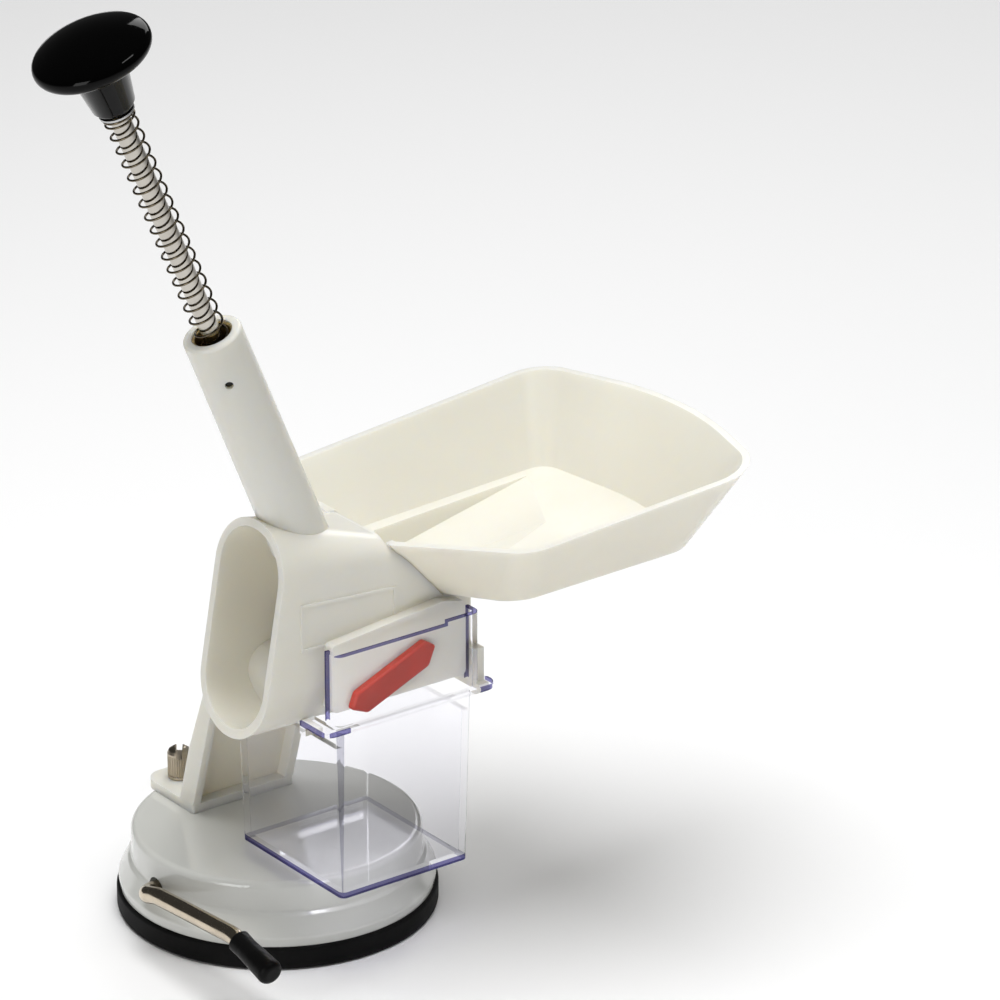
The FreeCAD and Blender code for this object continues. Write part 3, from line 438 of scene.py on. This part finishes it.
def finish_of(name):
    """The material of that name, made when it is first asked for."""
    if name in bpy.data.materials:
        return bpy.data.materials[name]
    tone = colours()
    along_plunger = (0.0, plunger_tilt * -1.0, 0.0)
    soft = {"Subsurface_Weight": 0.6, "Subsurface_Scale": 0.007, "Subsurface_Radius": (1.0, 0.85, 0.6)}
    makers = {
        "satin ivory": lambda: moulded_material(
            name, tone.ivory, tone.ivory_shade, 0.22, 0.1, patch_scale=9.0, grain_scale=2400.0,
            grain_depth=0.000006, wave_depth=0.00025, shader=soft,
        ),
        "tray ivory": lambda: moulded_material(
            name, tone.ivory, tone.ivory_shade, 0.2, 0.12, patch_scale=7.0, grain_scale=2600.0,
            grain_depth=0.000004, wave_depth=0.0003, shader=soft,
        ),
        "stand ivory": lambda: moulded_material(
            name, tone.ivory, tone.ivory_shade, 0.36, 0.16, patch_scale=14.0, grain_scale=1900.0,
            grain_depth=0.00001, wave_depth=0.00025, shader=soft,
        ),
        "glossy white": lambda: moulded_material(
            name, tone.shell, tone.shell_shade, 0.12, 0.08, patch_scale=10.0, grain_scale=3000.0,
            grain_depth=0.000003, wave_depth=0.00012, shader={"Coat_Weight": 0.4, "Coat_Roughness": 0.06},
        ),
        "natural plastic": lambda: moulded_material(
            name, tone.nylon, darker(tone.nylon, 0.9), 0.45, 0.15, patch_scale=60.0, grain_scale=1500.0,
            grain_depth=0.00001, wave_depth=0.0001,
        ),
        "black rubber": lambda: dusty_rubber(name, tone.rubber, 0.62, 900.0, 0.00002, 0.01),
        "grip sleeve": lambda: dusty_rubber(name, tone.grip, 0.36, 2200.0, 0.00001, 0.0),
        "gloss black": lambda: knob_gloss(name, tone.knob),
        "red silicone": lambda: silicone(name, tone.seal),
        "clear violet": lambda: clear_plastic(name, tone.box, tone.box_depth, tone.box_rim_painted_shade, tone.box_corner_painted_shade),
        "polished nickel": lambda: metal_material(
            name, tone.nickel, darker(tone.nickel, 0.86), 0.17, line_direction=(1.0, 0.05, 1.0),
            line_scale=2200.0, line_depth=0.000004, roughness_change=0.2,
        ),
        "knurled nickel": lambda: metal_material(
            name, darker(tone.nickel, 0.8), darker(tone.nickel, 0.6), 0.4, line_direction=(1.0, 1.0, 0.3),
            line_scale=3000.0, line_depth=0.000008, roughness_change=0.25,
        ),
        "polished rod": lambda: metal_material(
            name, tone.rod, darker(tone.rod, 0.9), 0.1, line_direction=(1.0, 1.0, 0.02), turn=along_plunger,
            line_scale=3600.0, line_depth=0.000003, roughness_change=0.14,
        ),
        "spring wire": lambda: metal_material(
            name, tone.spring, darker(tone.spring, 0.7), 0.26, line_direction=(1.0, 1.0, 1.0),
            line_scale=2400.0, line_depth=0.000012, roughness_change=0.25,
        ),
        "turned brass": lambda: metal_material(
            name, tone.brass, darker(tone.brass, 0.75), 0.42, line_direction=(0.05, 0.05, 1.0),
            turn=along_plunger, line_scale=5200.0, line_depth=0.00002, roughness_change=0.2,
        ),
        "zinc steel": lambda: metal_material(
            name, tone.steel, darker(tone.steel, 0.75), 0.34, line_direction=(1.0, 1.0, 1.0),
            line_scale=1400.0, line_depth=0.00001, roughness_change=0.25,
        ),
        "dark steel": lambda: metal_material(
            name, darker(tone.steel, 0.06), darker(tone.steel, 0.04), 0.5, line_direction=(1.0, 1.0, 1.0),
            line_scale=1400.0, line_depth=0.00001, roughness_change=0.2,
        ),
        "ground steel": lambda: metal_material(
            name, tone.steel, darker(tone.steel, 0.8), 0.24, line_direction=(0.06, 0.06, 1.0),
            turn=along_plunger, line_scale=3800.0, line_depth=0.00001, roughness_change=0.2,
        ),
    }
    return makers[name]()


def dusty_rubber(name, shade, roughness, grain_scale, grain_depth, dust):
    material, tree, shader = new_material(name, IOR=1.4, Specular_IOR_Level=0.12)
    surface = place_effect(
        tree, "moulded", colour=shade, patch_colour=darker(shade, 1.8), patch_scale=60.0,
        grain_scale=grain_scale, grain_depth=grain_depth, wave_depth=0.0001, roughness=roughness, roughness_change=0.25,
    )
    top = place_effect(
        tree, "dust", colour=surface.outputs["Colour"], dust_colour=(0.32, 0.31, 0.29), amount=dust
    )
    join(tree, top, shader, ("Colour", "Base Color"))
    join(tree, surface, shader, ("Roughness", "Roughness"), ("Normal", "Normal"))
    return material


def knob_gloss(name, shade):
    material, tree, shader = new_material(name, IOR=1.5, Specular_IOR_Level=0.12)
    surface = place_effect(
        tree, "moulded", colour=shade, patch_colour=darker(shade, 1.5), patch_scale=40.0, grain_scale=2600.0,
        grain_depth=0.000001, wave_depth=0.00002,
    )
    scuffs = place_effect(tree, "scuffs", amount=0.3, scale=70.0, roughness=0.06, scuffed=0.12)
    join(tree, surface, shader, ("Colour", "Base Color"), ("Normal", "Normal"))
    join(tree, scuffs, shader, ("Roughness", "Roughness"))
    return material


def silicone(name, shade):
    material, tree, shader = new_material(
        name, IOR=1.42, Subsurface_Weight=0.25, Subsurface_Scale=0.002, Subsurface_Radius=(1.0, 0.25, 0.15)
    )
    surface = place_effect(
        tree, "moulded", colour=shade, patch_colour=darker(shade, 0.8), patch_scale=90.0, grain_scale=1500.0,
        grain_depth=0.00002, wave_depth=0.0002, roughness=0.46, roughness_change=0.2,
    )
    top = place_effect(
        tree, "dust", colour=surface.outputs["Colour"], dust_colour=(0.75, 0.45, 0.4), amount=0.12
    )
    join(tree, top, shader, ("Colour", "Base Color"))
    join(tree, surface, shader, ("Roughness", "Roughness"), ("Normal", "Normal"))
    return material


def inside_any(tree, place, zones):
    """One where a place is in any of the zones, each a low and a high corner in millimetres."""
    split = add(tree, "SeparateXYZ")
    tree.links.new(place, split.inputs["Vector"])
    found = None
    for low, high in zones:
        here = None
        for axis, start, end in zip(split.outputs, low, high):
            within = figure(tree, "COMPARE", axis, (start + end) / 2000, (end - start) / 2000)
            here = within if here is None else figure(tree, "MULTIPLY", here, within)
        found = here if found is None else figure(tree, "MAXIMUM", found, here)
    return found


def painted_rim_zones():
    """Zones of the pit box whose rims are seen through their length, where dark shade is painted: foot, panel top and
    rail ears.
    """
    low, high = (corner * 1000 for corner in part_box("pit_box"))
    foot_low, foot_high, band, rim = low.z - 0.5, low.z + 2.0, 1.4, 0.7
    left, right, front, back = box_left - 1, box_right + 1, box_front - 1, box_back + 1
    return [
        ((left, front, foot_low), (box_left + band, back, foot_high)),
        ((left, front, foot_low), (right, box_front + band, foot_high)),
        ((panel_left - 1, front, high.z - 1.6), (panel_step_x, box_front + 1.7, high.z)),
        ((panel_step_x, front, high.z - 0.3), (panel_right + 1, panel_back, high.z + 1)),
        ((panel_left - 0.2, panel_back - 0.9, ledge_high), (panel_left + 1.7, panel_back + 1, high.z)),
        ((panel_right - 1.7, panel_back - 0.6, ledge_high), (panel_right + 0.2, panel_back + 1, high.z)),
        ((low.x - 1, low.y - 1, ledge_low), (panel_left + 3, low.y + rim, ledge_high)),
        ((low.x - 1, low.y - 1, ledge_low), (low.x + rim, back, ledge_high)),
        ((panel_right - 2, low.y - 1, ledge_low), (high.x + 1, low.y + rim, ledge_high)),
        ((high.x - rim, low.y - 1, ledge_low), (high.x + 1, back, ledge_high)),
    ]


def painted_corner_zones():
    """Zones of the pit box's far foot and upright corners, where the plastic bends, with grey-violet shade painted
    there.
    """
    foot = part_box("pit_box")[0].z * 1000
    right, back = box_right + 1, box_back + 1
    far_foot = [
        ((box_right - 1.4, box_front - 1, foot - 0.5), (right, back, foot + 1.2)),
        ((box_left - 1, box_back - 1.4, foot - 0.5), (right, back, foot + 1.2)),
    ]
    upright = [
        ((x, y, foot + 1.4), (x + wide, y + deep, ledge_low))
        for x, y, wide, deep in ((-19.8, -62.4, 1.9, 1.9), (28.3, -62.4, 1.2, 1.9), (-19.8, -8.6, 1.9, 1.5))
    ]
    return far_foot + upright


def clear_plastic(name, shade, depth_shade, painted_rim_tone, painted_corner_tone):
    """Clear plastic that lets most light through and darkens to violet where it is thick, with dark shade painted on
    its rims and corners.
    """
    material, tree, shader = new_material(
        name, IOR=1.06, Transmission_Weight=1.0, Coat_Weight=0.2, Coat_Roughness=0.02, Metallic=0.0
    )
    surface = place_effect(
        tree, "moulded", colour=shade, patch_colour=shade, patch_scale=20.0, grain_scale=1200.0,
        grain_depth=0.000001, wave_depth=0.00005,
    )
    scuffs = place_effect(tree, "scuffs", amount=0.25, scale=60.0, roughness=0.015, scuffed=0.08)
    place = add(tree, "TexCoord").outputs["Object"]
    tint = surface.outputs["Colour"]
    # Painted shade: the corner zones, then the rim zones, get flat dark violet in the base colour
    for zones, painted_tone in ((painted_corner_zones(), painted_corner_tone), (painted_rim_zones(), painted_rim_tone)):
        plain = add(tree, "RGB")
        plain.outputs[0].default_value = (*painted_tone, 1.0)
        tint = mixed(tree, inside_any(tree, place, zones), tint, plain.outputs[0])
    tree.links.new(tint, shader.inputs["Base Color"])
    join(tree, surface, shader, ("Normal", "Normal"))
    join(tree, scuffs, shader, ("Roughness", "Roughness"))
    light_through = add(tree, "BsdfTransparent")
    light_through.inputs["Color"].default_value = (*shade, 1.0)
    path = add(tree, "LightPath")
    blend = add(tree, "MixShader")
    tree.links.new(path.outputs["Is Shadow Ray"], blend.inputs["Fac"])
    tree.links.new(shader.outputs["BSDF"], blend.inputs[1])
    tree.links.new(light_through.outputs["BSDF"], blend.inputs[2])
    thickness = add(tree, "VolumeAbsorption")
    thickness.inputs["Color"].default_value = (*depth_shade, 1.0)
    thickness.inputs["Density"].default_value = 9.0
    output = tree.nodes["Material Output"]
    tree.links.new(blend.outputs["Shader"], output.inputs["Surface"])
    tree.links.new(thickness.outputs["Volume"], output.inputs["Volume"])
    return material


# Pieces


def give(piece, finish):
    """Puts one finish on every slot of a piece."""
    material = finish_of(finish)
    if not piece.material_slots:
        piece.data.materials.append(material)
    for place in piece.material_slots:
        place.material = material


def dress(finishes):
    """Gives named CAD nodes their finishes."""
    for node, finish in finishes.items():
        if node not in nodes:
            raise RuntimeError(f"the packed model has no node {node}")
        give(nodes[node], finish)


def clear_selection():
    if bpy.context.object is not None and bpy.context.object.mode != "OBJECT":
        bpy.ops.object.mode_set(mode="OBJECT")
    bpy.ops.object.select_all(action="DESELECT")


def settle(piece, name, finish, body):
    """Applies a finished piece's place, turns its faces outwards and lets it ride."""
    clear_selection()
    piece.name = name
    piece.data.name = name
    piece.select_set(True)
    bpy.context.view_layer.objects.active = piece
    bpy.ops.object.transform_apply(location=True, rotation=True, scale=True)
    bpy.ops.object.mode_set(mode="EDIT")
    bpy.ops.mesh.select_all(action="SELECT")
    bpy.ops.mesh.remove_doubles(threshold=0.000001)
    bpy.ops.mesh.normals_make_consistent(inside=False)
    bpy.ops.object.mode_set(mode="OBJECT")
    bpy.ops.object.shade_smooth_by_angle(angle=math.radians(40))
    give(piece, finish)
    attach(piece, body)
    piece.select_set(False)
    return piece


def stand_on_plunger(piece, height=0.0):
    """Turns a piece built about Z onto the plunger's line."""
    piece.rotation_euler = (0.0, plunger_tilt, 0.0)
    piece.location = line_point + plunger_up * height


def spring_heights():
    """How far the wire's middle has risen at each turn of the coil, from closed end to closed end."""
    measure = sizes()
    low = spring_reach[0] + measure.spring_wire / 2
    high = spring_reach[1] - measure.spring_wire / 2
    turns = measure.spring_curls
    closed = measure.spring_end_pitch
    open_pitch = (high - low - 3 * closed) / (turns - 3)

    def rise(turn):
        near = min(turn, turns - turn)
        share = min(max(near - 1, 0), 1)
        height = closed * near + (open_pitch - closed) * (share * share / 2 + max(near - 2, 0))
        return low + height if turn <= turns / 2 else high - height

    return rise, low, high


def coil_spring():
    """Screws a ring of wire up its axis, then closes up the end turns."""
    measure = sizes()
    rise, low, high = spring_heights()
    sides, steps = 12, 40
    clear_selection()
    bpy.ops.mesh.primitive_circle_add(
        vertices=sides, radius=measure.spring_wire / 2, fill_type="NOTHING",
        location=(measure.spring_radius, 0.0, low), rotation=(math.pi / 2, 0.0, 0.0),
    )
    coil = bpy.context.object
    bpy.ops.object.transform_apply(location=True, rotation=True, scale=True)
    turns = measure.spring_curls
    screw = coil.modifiers.new("coil", "SCREW")
    screw.axis = "Z"
    screw.angle = 2 * math.pi * turns
    screw.screw_offset = high - low
    screw.steps = steps * turns
    screw.render_steps = steps * turns
    screw.use_normal_calculate = True
    bpy.ops.object.modifier_apply(modifier=screw.name)
    rings = steps * turns + 1
    if len(coil.data.vertices) != rings * sides:
        raise RuntimeError("the coil has an uneven number of points")
    for index, vertex in enumerate(coil.data.vertices):
        turn = (index // sides) / steps
        vertex.co.z += rise(turn) - (low + (high - low) * turn / turns)
    bpy.ops.object.mode_set(mode="EDIT")
    bpy.ops.mesh.select_all(action="SELECT")
    bpy.ops.mesh.fill_holes(sides=0)
    bpy.ops.object.mode_set(mode="OBJECT")
    return coil


def arc_through(first, middle, last, count):
    """Points of the circle through three points, each a pair of radius and height."""
    (x1, y1), (x2, y2), (x3, y3) = first, middle, last
    cross = 2 * (x1 * (y2 - y3) + x2 * (y3 - y1) + x3 * (y1 - y2))
    a, b, c = x1 * x1 + y1 * y1, x2 * x2 + y2 * y2, x3 * x3 + y3 * y3
    cx = (a * (y2 - y3) + b * (y3 - y1) + c * (y1 - y2)) / cross
    cy = (a * (x3 - x2) + b * (x1 - x3) + c * (x2 - x1)) / cross
    radius = math.hypot(x1 - cx, y1 - cy)
    start = math.atan2(y1 - cy, x1 - cx)
    end = math.atan2(y3 - cy, x3 - cx)
    through = math.atan2(y2 - cy, x2 - cx)
    sweep = (end - start) % (2 * math.pi)
    if (through - start) % (2 * math.pi) > sweep:
        sweep -= 2 * math.pi
    return [
        (cx + radius * math.cos(start + sweep * i / count), cy + radius * math.sin(start + sweep * i / count))
        for i in range(1, count + 1)
    ]


def knob_outline():
    """Radius and height up the knob's side, from its foot to near its crown."""
    measure = sizes()
    top = knob_reach[1] - knob_reach[0]
    head, rim = measure.knob_radius, measure.knob_rim
    neck = (measure.knob_neck_radius, measure.knob_neck_height)
    under = (head - 0.0034, rim - 0.0034)
    over = (head - 0.0012, rim + 0.0020)
    dome = top - over[1]
    dome_radius = (over[0] ** 2 + dome ** 2) / (2 * dome)
    outline = [(measure.knob_foot_radius, 0.0), (measure.knob_stem_radius, measure.knob_chamfer), neck]
    outline += arc_through(neck, (neck[0] + 0.0022, neck[1] + 0.0022), under, 8)
    outline += arc_through(under, (head, rim), over, 12)
    for share in (0.85, 0.7, 0.55, 0.4, 0.25, 0.1):
        radius = over[0] * share
        outline.append((radius, top - dome_radius + math.sqrt(dome_radius ** 2 - radius ** 2)))
    return outline, top


def turn_knob():
    """Extrudes a disc ring by ring up the knob's outline, then rounds its hard edges."""
    outline, top = knob_outline()
    clear_selection()
    first_radius, first_height = outline[0]
    bpy.ops.mesh.primitive_circle_add(
        vertices=96, radius=first_radius, fill_type="NGON", location=(0.0, 0.0, first_height)
    )
    knob = bpy.context.object
    bpy.ops.object.mode_set(mode="EDIT")
    bpy.ops.mesh.select_all(action="SELECT")
    for (radius, height), (next_radius, next_height) in zip(outline, outline[1:]):
        bpy.ops.mesh.extrude_region_move(TRANSFORM_OT_translate={"value": (0.0, 0.0, next_height - height)})
        grown = next_radius / radius
        bpy.ops.transform.resize(value=(grown, grown, 1.0), center_override=(0.0, 0.0, next_height))
    bpy.ops.mesh.poke()
    bpy.ops.mesh.select_all(action="DESELECT")
    bpy.ops.object.mode_set(mode="OBJECT")
    crown = max(knob.data.vertices, key=lambda vertex: (vertex.co.z, -vertex.co.xy.length))
    crown.co.z = top
    round_off = knob.modifiers.new("soft edges", "BEVEL")
    round_off.width = 0.0004
    round_off.segments = 3
    round_off.limit_method = "ANGLE"
    round_off.angle_limit = math.radians(35)
    bpy.ops.object.modifier_apply(modifier=round_off.name)
    return knob


class PITTER_OT_suction_base(bpy.types.Operator):
    """Finishes the suction pad, its glossy shell and the lift stem"""
    bl_idname = "pitter.suction_base"
    bl_label = "Suction Base"

    def execute(self, context):
        dress({"suction_pad": "black rubber", "base_shell": "glossy white", "lift_stem": "natural plastic"})
        return {"FINISHED"}


class PITTER_OT_lever(bpy.types.Operator):
    """Finishes the lever with its grip, clip and eccentric"""
    bl_idname = "pitter.lever"
    bl_label = "Lever"

    def execute(self, context):
        dress({
            "lever_rod": "polished nickel", "lever_grip": "grip sleeve", "axle_clip": "zinc steel",
            "eccentric_cam": "natural plastic", "cam_pin": "zinc steel",
        })
        return {"FINISHED"}


class PITTER_OT_stand(bpy.types.Operator):
    """Finishes the stand, its studs, nuts and screws"""
    bl_idname = "pitter.stand"
    bl_label = "Stand"

    def execute(self, context):
        dress({
            "support_stand": "stand ivory", "foot_studs": "zinc steel", "knurled_nuts": "knurled nickel",
            "stand_screws": "zinc steel",
        })
        return {"FINISHED"}


class PITTER_OT_body(bpy.types.Operator):
    """Finishes the hollow body with its brass guide sleeve"""
    bl_idname = "pitter.body"
    bl_label = "Body"

    def execute(self, context):
        dress({"pitter_body": "satin ivory", "guide_sleeve": "turned brass", "sleeve_pin": "dark steel"})
        return {"FINISHED"}


class PITTER_OT_plunger(bpy.types.Operator):
    """Finishes the plunger rod and what is fixed to it"""
    bl_idname = "pitter.plunger"
    bl_label = "Plunger Rod"

    def execute(self, context):
        dress({
            "plunger_rod": "polished rod", "piercing_tip": "ground steel", "stop_clip": "spring wire",
            "spring_washer": "zinc steel", "knob_insert": "turned brass",
        })
        return {"FINISHED"}


class PITTER_OT_spring(bpy.types.Operator):
    """Winds the return spring round the plunger"""
    bl_idname = "pitter.spring"
    bl_label = "Return Spring"

    def execute(self, context):
        coil = coil_spring()
        stand_on_plunger(coil)
        settle(coil, "wound_spring", "spring wire", "plunger")
        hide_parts("return_spring")
        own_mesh(coil)
        return {"FINISHED"}


class PITTER_OT_knob(bpy.types.Operator):
    """Shapes the glossy knob"""
    bl_idname = "pitter.knob"
    bl_label = "Knob"

    def execute(self, context):
        knob = turn_knob()
        stand_on_plunger(knob, knob_reach[0])
        settle(knob, "gloss_knob", "gloss black", "plunger")
        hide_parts("plunger_knob")
        return {"FINISHED"}


class PITTER_OT_pit_box(bpy.types.Operator):
    """Finishes the clear pit box"""
    bl_idname = "pitter.pit_box"
    bl_label = "Pit Box"

    def execute(self, context):
        dress({"pit_box": "clear violet"})
        return {"FINISHED"}


class PITTER_OT_seal(bpy.types.Operator):
    """Finishes the soft red seal"""
    bl_idname = "pitter.seal"
    bl_label = "Seal"

    def execute(self, context):
        dress({"pit_seal": "red silicone"})
        return {"FINISHED"}


class PITTER_OT_tray(bpy.types.Operator):
    """Finishes the feed tray"""
    bl_idname = "pitter.tray"
    bl_label = "Feed Tray"

    def execute(self, context):
        dress({"feed_tray": "tray ivory"})
        return {"FINISHED"}


def soft_light(name, place, width, height, power, shows_in_gloss):
    data = bpy.data.lights.new(name, "AREA")
    data.shape = "RECTANGLE"
    data.size = width
    data.size_y = height
    data.energy = power
    lamp = bpy.data.objects.new(name, data)
    lamp.location = place
    lamp.rotation_euler = (Vector(light_target) - Vector(place)).to_track_quat("-Z", "Y").to_euler()
    lamp.visible_glossy = shows_in_gloss
    bpy.context.scene.collection.objects.link(lamp)


def studio_floor():
    bpy.ops.mesh.primitive_plane_add(size=sizes().floor_width, location=(0.0, 0.0, -0.0002))
    floor = bpy.context.object
    floor.name = "studio_floor"
    material, tree, shader = new_material("studio floor", Roughness=0.9, Specular_IOR_Level=0.2)
    surface = place_effect(
        tree, "moulded", colour=colours().floor, patch_colour=colours().floor, patch_scale=2.0,
        grain_scale=400.0, grain_depth=0.00001, wave_depth=0.0,
    )
    join(tree, surface, shader, ("Colour", "Base Color"))
    floor.data.materials.append(material)


def studio_world():
    """White to the eye and through clear plastic, nearly dark to everything else."""
    world = bpy.data.worlds.new("studio")
    world.use_nodes = True
    tree = world.node_tree
    background = tree.nodes["Background"]
    background.inputs["Color"].default_value = (1.0, 1.0, 1.0, 1.0)
    path = add(tree, "LightPath")
    undiffused = figure(tree, "LESS_THAN", path.outputs["Diffuse Depth"], 0.5)
    through = figure(tree, "MULTIPLY", path.outputs["Is Transmission Ray"], undiffused)
    seen = figure(tree, "MAXIMUM", path.outputs["Is Camera Ray"], through)
    tree.links.new(spread(tree, seen, 0.0, 1.0, world_glow_unseen, 1.0), background.inputs["Strength"])
    bpy.context.scene.world = world


def photo_camera():
    data = bpy.data.cameras.new("photo_view")
    data.lens = camera_lens
    data.sensor_width = sensor_width
    camera = bpy.data.objects.new("photo_view", data)
    camera.location = camera_place
    camera.rotation_euler = [math.radians(angle) for angle in camera_turn]
    bpy.context.scene.collection.objects.link(camera)
    bpy.context.scene.camera = camera


class PITTER_OT_stage(bpy.types.Operator):
    """Lays the pale floor and sets the soft lights and the camera"""
    bl_idname = "pitter.stage"
    bl_label = "Stage"

    def execute(self, context):
        clear_selection()
        studio_floor()
        studio_world()
        for light in studio_lights:
            soft_light(*light)
        photo_camera()
        context.scene.view_settings.view_transform = "Standard"
        return {"FINISHED"}


piece_operators = (
    PITTER_OT_suction_base, PITTER_OT_lever, PITTER_OT_stand, PITTER_OT_body, PITTER_OT_plunger,
    PITTER_OT_spring, PITTER_OT_knob, PITTER_OT_pit_box, PITTER_OT_seal, PITTER_OT_tray, PITTER_OT_stage,
)


class PITTER_PT_panel(bpy.types.Panel):
    """Sizes, colours and one button for each piece"""
    bl_idname = "PITTER_PT_panel"
    bl_label = "Cherry Pitter"
    bl_space_type = "VIEW_3D"
    bl_region_type = "UI"
    bl_category = "Cherry Pitter"

    def draw(self, context):
        for title, group in (("Sizes", sizes()), ("Colours", colours())):
            box = self.layout.box()
            box.label(text=title)
            for key in group.bl_rna.properties.keys():
                if key not in ("rna_type", "name"):
                    box.prop(group, key)
        for operator in piece_operators:
            self.layout.operator(operator.bl_idname)


classes = (PitterSizes, PitterColours, *piece_operators, PITTER_PT_panel)


def register():
    for cls in classes:
        bpy.utils.register_class(cls)
    bpy.types.Scene.pitter_sizes = bpy.props.PointerProperty(type=PitterSizes)
    bpy.types.Scene.pitter_colours = bpy.props.PointerProperty(type=PitterColours)


def unregister():
    del bpy.types.Scene.pitter_colours
    del bpy.types.Scene.pitter_sizes
    for cls in reversed(classes):
        bpy.utils.unregister_class(cls)


def main():
    register()
    for operator in piece_operators:
        group, action = operator.bl_idname.split(".")
        getattr(getattr(bpy.ops, group), action)()


if __name__ == "__main__":
    main()
